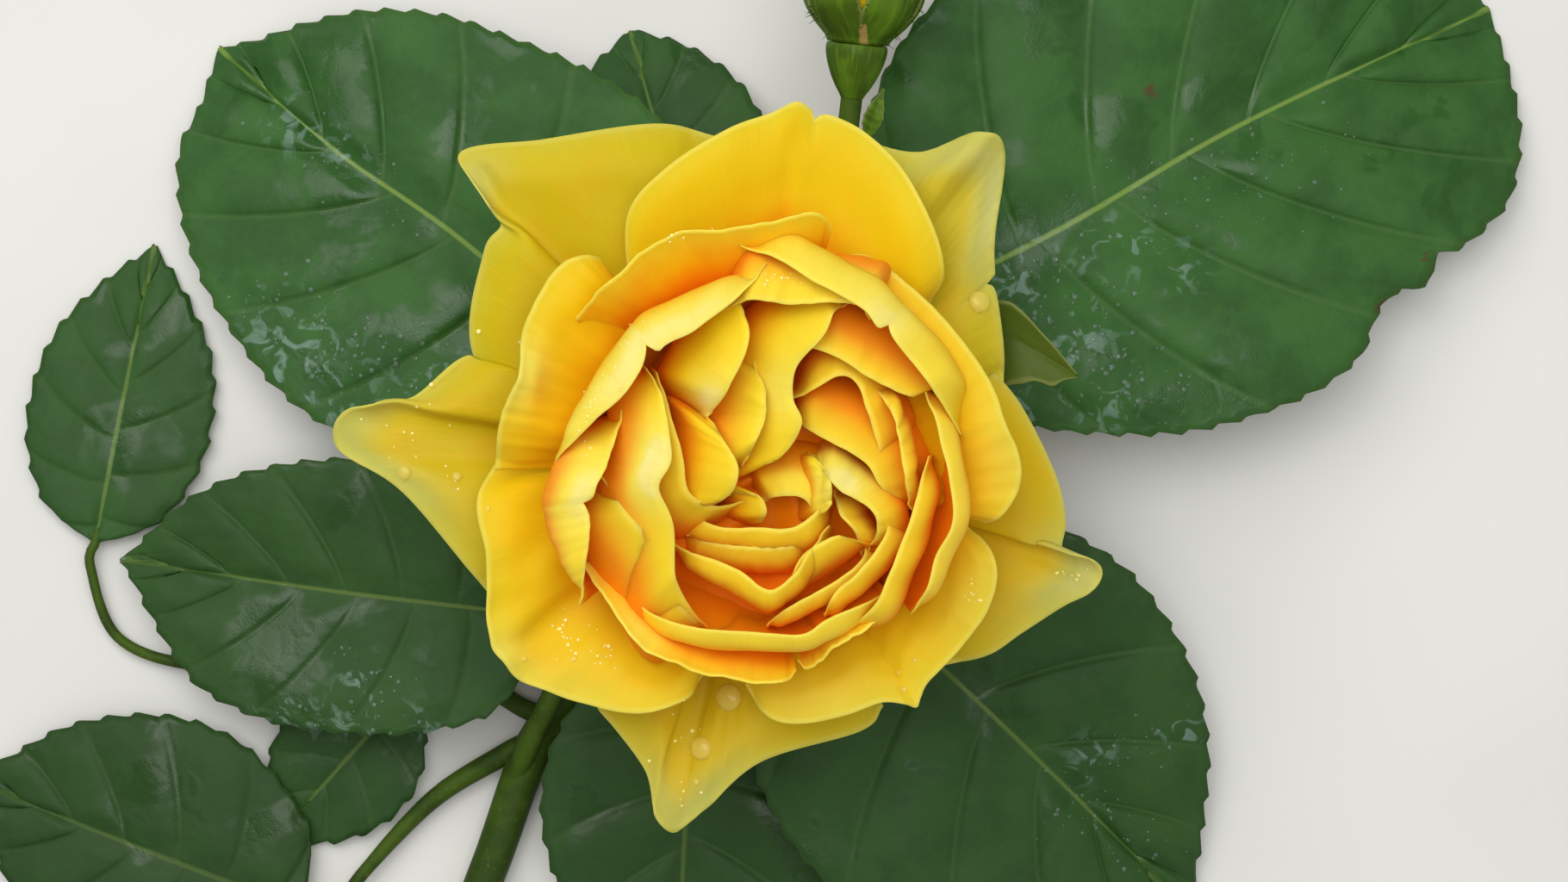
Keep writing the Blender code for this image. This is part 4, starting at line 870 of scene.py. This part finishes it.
for name, runs in LEAF_STALKS.items():
    fit(grow(path_curve(name + "_skin", runs), stem, name + "_skin", Sides=14), "stalk", name)

# ---- Hips and sepals
# Under the bloom and under the bud sits a smooth green hip, swollen like an urn, and from its rim grow five
# sepals: narrow leafy blades with a drawn-out tip, green outside and dull olive inside, with ragged margins.

SEPAL_GREEN, SEPAL_OLIVE, SEPAL_FELT = (0.080, 0.165, 0.008), (0.050, 0.095, 0.006), (0.066, 0.105, 0.010)
SEPAL_MARGIN, SEPAL_DRY, SEPAL_STREAKS = (0.24, 0.27, 0.07), (0.42, 0.29, 0.09), 1.5
# A round piece's profile is (radius, height), and its rings, sides and faint lengthwise ribs are the same for all.
HIP_BASE = (0, 0, 20.3)
HIP_PROFILE = ((2.3, 0), (3.0, 0.8), (3.7, 1.9), (4.25, 3.2), (4.5, 4.6), (4.5, 6.6), (4.3, 8.2), (4.05, 9.4),
               (4.1, 10.7))
HIP_RINGS, HIP_SIDES, FIVE_RIBS, THREE_RIBS = 40, 48, 0.012, 0.006
SEPAL_CUP, SEPAL_KEEL, SEPAL_RAGGED, SEPAL_THICKNESS = 0.22, 0.28, 0.10, 0.7
# Each sepal's middle line from under the bloom, and its half widths from root to tip.
SEPAL_WIDTHS = (2.3, 3.6, 4.25, 4.0, 3.1, 2.0, 1.1, 0.5, 0.2)
BLOOM_SEPALS = {
    "sepal_1": (((4.5, 1.4, 30.2), (12, 4.8, 31.6), (24, 10.8, 34.6), (34.4, 16.1, 38.4), (38, 15.2, 39.4),
                 (40.9, 13.5, 39.9), (44.3, 11.5, 40.3)), (2.3, 3.8, 4.4, 4.8, 5.3, 5.6, 5.8, 4.4, 0.2)),
    "sepal_2": (((0.2, 4.5, 30.2), (0.7, 18, 29.8), (1.1, 34.4, 23.4)), SEPAL_WIDTHS),
    "sepal_3": (((-4.2, 1.5, 30.2), (-17, 6.2, 29.6), (-33.2, 12.0, 22.4)), SEPAL_WIDTHS),
    "sepal_4": (((-2.8, -3.5, 30.2), (-11.2, -14.2, 29.8), (-21.2, -27.1, 23.4)), SEPAL_WIDTHS),
    "sepal_5": (((2.5, -3.8, 30.2), (9.8, -15.0, 30.0), (18.2, -28.0, 24.4)), SEPAL_WIDTHS),
}


def sepal_material():
    """Green skin, with a felted inner side and paler margins."""
    made, tree, shader = new_material("sepal_skin", 0.45, Specular_IOR_Level=0.14)
    lay = kept_value(tree, "lay", "Vector")
    back, edge, dry = (kept_value(tree, label) for label in ("back", "edge", "dry"))
    streaked = add_node(tree, "ShaderNodeMapping", Vector=lay, Scale=(0.14, 1.0, 1.0))
    streaks = noise(tree, streaked.outputs[0], 1.4, Detail=4.0)
    clouds = noise(tree, lay, 0.22, Detail=2.0)
    outside = blend(tree, SEPAL_OLIVE, (ramp(tree, clouds, 0.38, 0.62), SEPAL_GREEN),
                    (ramp(tree, streaks, 0.52, 0.68, 0.0, 0.45), tuple(SEPAL_STREAKS * c for c in SEPAL_GREEN)))
    colour = blend(tree, SEPAL_FELT, (back, outside), (ramp(tree, edge, 0.86, 1.0, 0.0, 0.6), SEPAL_MARGIN),
                   (ramp(tree, dry, 0.25, 0.6, 0.0, 0.85), SEPAL_DRY))
    dress(tree, shader, colour, streaks, 0.3, 0.0002)
    return made


def round_object(name, profile, place, finish):
    """A closed round body turned about its axis. Its place is its base, its axis and two ways across that."""
    base, ahead, side, up = (np.array(part, float) for part in place)
    line = smooth_line(profile, HIP_RINGS)
    angle = np.linspace(0, math.tau, HIP_SIDES, endpoint=False)
    swell = 1 + FIVE_RIBS * np.cos(5 * angle)[None, :] + THREE_RIBS * np.sin(3 * angle + 1)[None, :]
    radius = line[:, :1] * swell
    spokes = np.cos(angle)[:, None] * side + np.sin(angle)[:, None] * up
    grid = base + ahead * line[:, 1][:, None, None] + radius[:, :, None] * spokes
    points = [*grid.reshape(-1, 3), base + ahead * line[0, 1], base + ahead * line[-1, 1]]
    faces = []
    for ring in range(HIP_RINGS - 1):
        for k in range(HIP_SIDES):
            a, b = ring * HIP_SIDES + k, ring * HIP_SIDES + (k + 1) % HIP_SIDES
            faces.append((a, b, b + HIP_SIDES, a + HIP_SIDES))
    last, first_end = (HIP_RINGS - 1) * HIP_SIDES, HIP_RINGS * HIP_SIDES
    for k in range(HIP_SIDES):
        faces.append((k, first_end, (k + 1) % HIP_SIDES))
        faces.append((last + k, last + (k + 1) % HIP_SIDES, first_end + 1))
    mesh = bpy.data.meshes.new(name)
    mesh.from_pydata(to_frame(points), [], faces)
    lay = np.zeros((len(points), 3))
    lay[:-2, 0] = np.repeat(line[:, 1], HIP_SIDES)
    lay[:-2, 1] = np.tile(np.sin(angle) * 6, HIP_RINGS)
    lay[:-2, 2] = np.tile(np.cos(angle) * 6, HIP_RINGS)
    for label, values in (("lay", lay), ("back", np.ones(len(points))), ("edge", np.zeros(len(points)))):
        keep(mesh, label, values)
    mesh.shade_smooth()
    mesh.materials.append(finish)
    shell = bmesh.new()
    shell.from_mesh(mesh)
    bmesh.ops.recalc_face_normals(shell, faces=shell.faces)
    shell.to_mesh(mesh)
    shell.free()
    return placed(name, mesh)


def strip(middle, across, widths, seed, rows, columns):
    """A leafy strip on a middle line: cupped, with a slightly ragged margin and a keel underneath."""
    line = smooth_line(middle, rows)
    half = smooth_line([(10 * i, w) for i, w in enumerate(widths)], rows)[:, 1]
    c, t = np.linspace(-1, 1, columns)[None, :], np.linspace(0, 1, rows)[:, None]
    ragged = 1 + SEPAL_RAGGED * ripples(np.sign(c) * 0.5 + 0.5, t, seed, 1.0, 14.0) * np.abs(c) ** 6
    half = np.maximum(half, 0.18)[:, None] * ragged
    grid = line[:, None] + across[None, None, :] * (half * c)[:, :, None]
    grid[:, :, 2] += SEPAL_CUP * half * c**2 - SEPAL_KEEL * np.exp(-((half * c / 0.6) ** 2))
    lay = np.stack([t * 30 * np.ones_like(c), half * c, np.full_like(half * c, seed * 11.0)], axis=2)
    edge = np.abs(c) * np.ones_like(t)
    return grid, SEPAL_THICKNESS * (1 - 0.6 * edge**4) * (1 - 0.4 * t), {"lay": lay, "edge": edge}


sepal_skin = sepal_material()
fit(round_object("hip_skin", HIP_PROFILE, (HIP_BASE, (0, 0, 1), (1, 0, 0), (0, 1, 0)), sepal_skin), "hip", "hip")
for seed, (name, (middle, widths)) in enumerate(BLOOM_SEPALS.items(), 301):
    run = np.array(middle[-1]) - np.array(middle[0])
    across = np.array((-run[1], run[0], 0)) / math.hypot(run[0], run[1])
    grid, thickness, facts = strip(middle, across, widths, seed, 64, 21)
    blade = (grid, thickness, front_sign(grid, 20, 10, (0, 0, 1)), facts)
    fit(blade_object(name + "_blade", [blade], sepal_skin), "sepal", name)

# ---- Bud
# A closed bud on the side stalk: rolled petals wound over one another, hugged by five sepals whose margins just
# meet, with a few gland hairs, and a small bract beside its stalk.

BUD_BASE, BUD_BEARING, BUD_TILT = np.array((13.9, 50.0, 28.6)), math.radians(84.0), math.radians(8.0)
BUD_HIP_LENGTH, BUD_GAP, BUD_LENGTH, BUD_RADIUS, BUD_SEPAL_LENGTH, BUD_SEPAL_WIDTH = 7.8, 0.3, 27.0, 7.7, 29.5, 10.6
BUD_HIP_PROFILE = ((1.5, 0.2), (1.9, 0.9), (2.6, 2.0), (3.3, 3.4), (3.9, 5.0), (4.25, 6.4), (4.3, 7.3), (4.15, 7.8))
# The dry mark on the bud's sepals: where it starts, the step from one spot to the next, how many, and how large.
DRY_MARK = ((15.6, 55.8), (-0.08, 0.9), 5, 0.55)
BRACT_FOOT, BRACT_WAY = np.array((16.0, 45.0, 28.0)), np.array((0.33, 0.94, 0)) / math.hypot(0.33, 0.94)
BRACT_RISE, BRACT_WIDTHS = ((0, 0), (3.5, 0.9), (7.0, 1.0)), (0.5, 1.0, 1.3, 1.25, 0.9, 0.4, 0.15)
HAIRS_ON_A_SEPAL, HAIR_RADIUS, HAIR_LENGTHS = 42, 0.00010, (0.9, 1.9)
# How far each rolled petal turns past the one before, and how far round it goes.
ROLL_STEP, ROLL_WRAP = 137.5, 215

bud_ahead = np.array((math.cos(BUD_BEARING) * math.cos(BUD_TILT), math.sin(BUD_BEARING) * math.cos(BUD_TILT),
                      math.sin(BUD_TILT)))
bud_side = np.array((-math.sin(BUD_BEARING), math.cos(BUD_BEARING), 0))
bud_up = np.cross(bud_ahead, bud_side)
bud_hip = round_object("bud_hip_skin", BUD_HIP_PROFILE, (BUD_BASE, bud_ahead, bud_side, bud_up), sepal_skin)
fit(bud_hip, "hip", "bud_hip")


def bud_radius(along):
    """Radius of the rolled petals at a way along the bud's axis."""
    at = np.clip((along - BUD_HIP_LENGTH - BUD_GAP) / BUD_LENGTH, 0, 1)
    neck = 1 - 0.37 * np.exp(-((at / 0.13) ** 2))
    return BUD_RADIUS * neck * np.maximum(np.sin(math.pi * (0.16 + 0.84 * at) ** 0.8), 0) ** 0.75


def around_bud(angle, radius, along):
    across = np.cos(angle)[..., None] * bud_side + np.sin(angle)[..., None] * bud_up
    return BUD_BASE + bud_ahead * along[..., None] + radius[..., None] * across


def faces_in(grid, row, column, along):
    """1 if a grid round the bud faces its axis at one of its points, or else -1."""
    return -front_sign(grid, row, column, grid[row, column] - (BUD_BASE + bud_ahead * along[row].mean()))


def rolled_petal(number):
    """One of the bud's five petals, wound a little over half round and further in with each one."""
    t, u = np.linspace(0, 1, 44)[:, None], np.linspace(0, 1, 60)[None, :]
    angle = math.radians(ROLL_STEP * number) + math.radians(ROLL_WRAP) * u + 0.5 * t
    tuck = (1 - u) * 1.3 + 0.12 * number
    top = 1.0 - 0.05 * (1 - np.sin(math.pi * u)) - 0.012 * number
    along = BUD_HIP_LENGTH + BUD_GAP + BUD_LENGTH * (0.01 + (top - 0.01) * t)
    radius = np.maximum(bud_radius(along) - 0.25 - tuck * (0.4 + 0.6 * t), 0.3)
    grid = around_bud(angle + 0 * t, radius, along + 0 * u)
    to_tip = (1 - t) * BUD_LENGTH * np.ones_like(u)
    lay = np.stack([u * 24 * np.ones_like(t), to_tip, np.full_like(to_tip, 900 + 50.0 * number)], axis=2)
    facts = petal_facts(to_tip * 0.6, lay, tone=0.2, orange=0.15, pale=0.3, lemon=0.3)
    return grid, 0.4, faces_in(grid, 20, 30, along), facts


def hugging_sepal(number):
    """A bud's sepal, bent round the rolled petals from the hip's rim to a drawn-out tip."""
    t, c = np.linspace(0, 1, 60)[:, None], np.linspace(-1, 1, 23)[None, :]
    around = math.tau * (number + 0.75) / 5
    along = BUD_HIP_LENGTH + 0.15 + BUD_SEPAL_LENGTH * t
    outside_petals = bud_radius(along) + 0.30 + 0.45 * soft_step(t, 0, 0.09)
    radius = np.maximum(outside_petals, 1.4 - 0.6 * soft_step(t, 0.85, 1.0))
    half = 0.5 * BUD_SEPAL_WIDTH * (0.80 + 0.32 * np.sin(math.pi * np.minimum(1, t * 1.6))) * (1 - t**1.9)
    half = np.minimum(half + 0.25, radius * (0.645 - 0.09 * soft_step(t, 0.10, 0.22)))
    ragged = 1 + 0.05 * ripples(np.sign(c) * 0.5 + 0.5, t, 700 + number, 1.0, 12.0) * np.abs(c) ** 5
    swell = radius + 0.5 * np.exp(-((c / 0.16) ** 2)) * (1 - t) - 0.15 * np.abs(c) ** 3
    grid = around_bud(around + c * half * ragged / radius, swell, along + 0 * c)
    edge = np.abs(c) * np.ones_like(t)
    lay = np.stack([along + 0 * c, c * half, np.full_like(edge, 40.0 * number + 7)], axis=2)
    (x, y), (step_x, step_y), spots, size = DRY_MARK
    dry = sum(near(grid, x + step_x * k, y + step_y * k, size) for k in range(spots)).clip(0, 1)
    thickness = SEPAL_THICKNESS * (1 - 0.5 * edge**4) * (0.5 + 0.5 * soft_step(t, 0, 0.08))
    return grid, thickness, faces_in(grid, 20, 11, along), {"lay": lay, "edge": edge, "dry": dry}


bud_roll = blade_object("bud_rolled_petals", [rolled_petal(number) for number in range(5)], yellow_petal)
fit(bud_roll, "bud_petals", "bud_petals")
bud_sepals = []
for number in range(5):
    piece = blade_object(f"bud_sepal_{number + 1}_blade", [hugging_sepal(number)], sepal_skin)
    bud_sepals.append(fit(piece, "sepal", f"bud_sepal_{number + 1}"))
bract_line = [BRACT_FOOT + BRACT_WAY * way + (0, 0, rise) for way, rise in BRACT_RISE]
bract_across = np.array((-BRACT_WAY[1], BRACT_WAY[0], 0))
grid, thickness, facts = strip(bract_line, bract_across, BRACT_WIDTHS, 350, 36, 13)
fit(blade_object("bract_blade", [(grid, thickness, 1, facts)], sepal_skin), "sepal", "bract")


def scatter_tree(name, finish, kind):
    """One small body at every point, as large as the point's size and square to the skin under it."""
    tree, given = open_tree(name, "Places", Around=8, Along=5)
    body = tree.nodes.new(kind)
    tree.links.new(given["Around"], next(s for s in body.inputs if s.name in ("Segments", "Vertices")))
    tree.links.new(given["Along"], next(s for s in body.inputs if s.name in ("Rings", "Side Segments")))
    size, skin = (add_node(tree, "GeometryNodeInputNamedAttribute", data_type="FLOAT_VECTOR", Name=label).outputs[0]
                  for label in ("size", "skin"))
    turned = add_node(tree, "FunctionNodeAlignRotationToVector", axis="Z", Vector=skin)
    spread = add_node(tree, "GeometryNodeInstanceOnPoints", Points=given["Places"], Instance=body.outputs[0],
                      Rotation=turned.outputs[0], Scale=size)
    return close_tree(tree, spread.outputs[0], finish)


def cloud(name, points, sizes, ways):
    """Loose points in the frame, each with the size of its body and the way that it stands."""
    mesh = bpy.data.meshes.new(name)
    mesh.from_pydata(points, [], [])
    keep(mesh, "size", sizes)
    keep(mesh, "skin", ways)
    return placed(name, mesh)


def gland_hairs():
    """Short stiff hairs on the margins of the bud's sepals."""
    chance = np.random.default_rng(5)
    points, sizes, ways = [], [], []
    for piece in bud_sepals:
        mesh = piece.data
        edge, back = (np.zeros(len(mesh.vertices), np.float32) for _ in range(2))
        mesh.attributes["edge"].data.foreach_get("value", edge)
        mesh.attributes["back"].data.foreach_get("value", back)
        outside = np.flatnonzero((back > 0.5) & (edge > 0.9) & (edge < 0.999))
        for index in chance.choice(outside, HAIRS_ON_A_SEPAL, replace=False):
            vertex = mesh.vertices[int(index)]
            way = np.array(vertex.normal) + chance.normal(size=3) * 0.35
            length = chance.uniform(*HAIR_LENGTHS)
            points.append(vertex.co[:])
            sizes.append((HAIR_RADIUS, HAIR_RADIUS, length * 0.0005))
            ways.append(way / np.linalg.norm(way))
    hairs = scatter_tree("hairs_on_sepals", sepal_skin, "GeometryNodeMeshCone")
    fit(grow(cloud("bud_hairs", points, sizes, ways), hairs, "bud_hairs", Around=5, Along=2), "sepal")


gland_hairs()

# ---- Water drops
# Rain stands on the shoot in clear beads: plump on the waxy petals, spread flatter on the leaves. The smallest
# cling in rows along the petals' lips and in patches between a leaf's veins.

# Place of each large drop seen from above, and its radius, in millimetres.
LARGE_DROPS = ((-2.9, -32.1, 1.9), (-6.6, -39.0, 1.6), (25.0, 23.2, 1.6), (30.7, 21.3, 1.5), (-46.7, -1.7, 0.95),
               (-39.6, -2.2, 0.7), (-7.4, -43.6, 0.45), (-30.1, -26.5, 0.4), (-23.6, -26.5, 0.45),
               (20.4, -30.4, 0.45), (19.6, -28.2, 0.32), (21.8, -26.5, 0.32), (42.4, -15.4, 0.3), (-34.8, -6.4, 0.36),
               (-29.2, 18.6, 0.3), (-31.0, 15.8, 0.36), (-17.9, 11.2, 0.26), (-16.5, 9.2, 0.36), (-9.5, -46.1, 0.3))
# Rows and patches of beads: from, to, how far they stray, how many, and their smallest and largest radius.
BEADS = (
    ((-26.6, -21.8), (-18.0, -26.9), 2.0, 30, 0.12, 0.3),
    ((-22.3, -3.5), (-20.5, 7.3), 0.9, 16, 0.12, 0.24),
    ((-21.0, 8.0), (-13.5, 18.5), 1.2, 22, 0.12, 0.24),
    ((-12.5, 28.3), (-4.6, 30.3), 0.5, 16, 0.14, 0.26),
    ((1.1, 23.9), (8.3, 23.0), 0.9, 12, 0.12, 0.24),
    ((28.5, -16.7), (30.4, -18.7), 0.8, 8, 0.12, 0.24),
    ((42.0, -15.5), (47.0, -15.2), 0.8, 8, 0.12, 0.24),
    ((-52.0, 2.0), (-38.0, -3.0), 3.0, 10, 0.12, 0.28),
    ((-9.0, -34.0), (-8.0, -46.0), 3.0, 12, 0.12, 0.3),
    ((-71.0, 22.0), (-43.0, 11.0), 6.0, 110, 0.16, 0.5),
    ((-69.0, 50.0), (-50.0, 36.0), 5.0, 44, 0.14, 0.42),
    ((35.8, 27.0), (60.0, 7.0), 6.0, 110, 0.16, 0.5),
    ((40.0, 30.0), (88.0, 46.0), 8.0, 90, 0.14, 0.42),
    ((43.0, -50.0), (60.0, -56.0), 5.0, 46, 0.16, 0.42),
    ((48.0, -42.0), (62.0, -40.0), 4.0, 20, 0.16, 0.4),
    ((-67.0, -36.8), (-47.0, -37.0), 2.0, 20, 0.16, 0.45),
    ((-60.0, -28.0), (-50.0, -34.0), 3.0, 14, 0.16, 0.4),
)
# Metres from the floor where petals begin; the height that rain comes from; how level its place has to be; how
# high a drop is against its width on each skin, and how far its middle rises, for each millimetre of its height.
PETALS_FROM, LEAVES_FROM, ALL_BELOW, RAIN_HEIGHT, LEVEL_ENOUGH = 0.030, 0.003, 0.1, 90.0, 0.45
PLUMP_ON_PETALS, PLUMP_ON_LEAVES, DROP_RISE = 0.62, 0.42, 0.00015


def water_tree(name, rain, tint, clearness, solid):
    """Round drops of water, with a painted tint of the blade that shines through them; the opaque ones are painted
    glints.
    """
    water, _, _ = new_material(rain, 0.04, Base_Color=(*tint, 1.0), Transmission_Weight=clearness, Alpha=solid,
                               IOR=1.42, Specular_IOR_Level=0.9)
    return scatter_tree(name, water, "GeometryNodeMeshUVSphere")


def skin_under(pieces):
    """The pieces' surface, to be looked up from above."""
    points, faces = [], []
    for piece in pieces:
        start = len(points)
        points.extend(vertex.co.copy() for vertex in piece.data.vertices)
        faces.extend([start + k for k in face.vertices] for face in piece.data.polygons)
    return BVHTree.FromPolygons(points, faces)


def stand_drops(name, places, water, lowest, highest, plump, around, along):
    """Drops at places given from above. Each stands on the first skin under it, nearly half sunk in, if that skin
    is fairly level and lies between two heights."""
    points, sizes, normals = [], [], []
    for x, y, radius in places:
        hit, normal, _, _ = wet_skin.ray_cast(Vector(to_frame((x, y, RAIN_HEIGHT))), Vector((0, 0, -1)))
        if hit is None or normal.z < LEVEL_ENOUGH or not lowest < hit.z - FLOOR_UNDER_BLOOM[2] <= highest:
            continue
        points.append(hit + normal * radius * plump * DROP_RISE)
        sizes.append((radius * 0.001, radius * 0.001, radius * plump * 0.001))
        normals.append(normal)
    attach(grow(cloud(name, points, sizes, normals), water, name, Around=around, Along=along), "root")


# Painted light: petal drops carry the petal's yellow as painted see-through light; petal beads are opaque pale yellow,
# painted glints.
petal_water = water_tree("drops_on_petals", "rain_on_petals", (1.0, 0.82, 0.15), 0.0, 0.42)
bead_glint_water = water_tree("beads_on_petals", "fine_rain_painted_glints", (1.0, 0.87, 0.30), 0.0, 1.0)
leaf_water = water_tree("drops_on_leaves", "rain_on_leaves", (0.55, 0.72, 0.60), 0.75, 0.55)
wet_skin = skin_under((guards, whorl, bowl, swirl, *leaf_pieces))
chance = np.random.default_rng(77)
bead_places = []
for start, end, stray, count, smallest, largest in BEADS:
    for _ in range(count):
        place = np.array(start) + (np.array(end) - start) * chance.uniform() + chance.normal(size=2) * stray * 0.6
        bead_places.append((*place, smallest + (largest - smallest) * chance.uniform() ** 2.5))
stand_drops("large_drops", LARGE_DROPS, petal_water, PETALS_FROM, ALL_BELOW, PLUMP_ON_PETALS, 32, 16)
stand_drops("petal_beads", bead_places, bead_glint_water, PETALS_FROM, ALL_BELOW, PLUMP_ON_PETALS, 8, 5)
stand_drops("leaf_beads", bead_places, leaf_water, LEAVES_FROM, PETALS_FROM, PLUMP_ON_LEAVES, 8, 5)

# ---- Studio
# A pale floor under the shoot, a broad soft light overhead, another over its upper left, a weak one opposite,
# and pale air.

LIGHTS_AIM, FLOOR_REACH = (0, 0, 30), 3
FLOOR_PATCHES = (0.70, 0.70, 0.68), (0.74, 0.74, 0.72)
AIR_COLOUR, AIR_STRENGTH = (1.0, 0.985, 0.96, 1), 0.36
CAMERA_PLACE, CAMERA_LENS, CAMERA_SENSOR, CAMERA_NEAR = (4.48, 2.58, 510.0), 79.47, 36.0, 0.01


def area_light(name, place, size, power, colour):
    lamp = bpy.data.lights.new(name, "AREA")
    lamp.shape, lamp.size, lamp.energy, lamp.color = "DISK", size, power, colour
    made = placed(name, lamp)
    made.location = to_frame(place)
    made.rotation_euler = Vector(to_frame(LIGHTS_AIM) - to_frame(place)).to_track_quat("-Z", "Y").to_euler()


def floor_plane():
    mesh = bpy.data.meshes.new("floor")
    corners = [(x * FLOOR_REACH, y * FLOOR_REACH, 0) for x, y in ((-1, -1), (1, -1), (1, 1), (-1, 1))]
    mesh.from_pydata(corners, [], [(0, 1, 2, 3)])
    made = placed("floor", mesh)
    pale, tree, shader = new_material("pale_floor", 0.75)
    grain = noise(tree, add_node(tree, "ShaderNodeTexCoord").outputs["Object"], 14.0)
    colour = blend(tree, FLOOR_PATCHES[0], (ramp(tree, grain, 0.3, 0.7), FLOOR_PATCHES[1]))
    tree.links.new(colour, shader.inputs["Base Color"])
    mesh.materials.append(pale)


floor_plane()
area_light("key_light", (-330, 380, 620), 0.6, 2.4, (1.0, 0.98, 0.94))
area_light("sky_light", (10, 130, 790), 0.7, 3.5, (1.0, 0.99, 0.97))
area_light("fill_light", (420, -260, 520), 0.7, 0.4, (1.0, 0.99, 0.97))
air = bpy.data.worlds.new("pale_air")
air.use_nodes = True
background = air.node_tree.nodes["Background"]
background.inputs[0].default_value, background.inputs[1].default_value = AIR_COLOUR, AIR_STRENGTH
bpy.context.scene.world = air
camera = placed("camera", bpy.data.cameras.new("camera"))
camera.data.lens, camera.data.sensor_width, camera.data.clip_start = CAMERA_LENS, CAMERA_SENSOR, CAMERA_NEAR
camera.location = to_frame(CAMERA_PLACE)
bpy.context.scene.camera = camera
bpy.context.scene.view_settings.view_transform = "Standard"
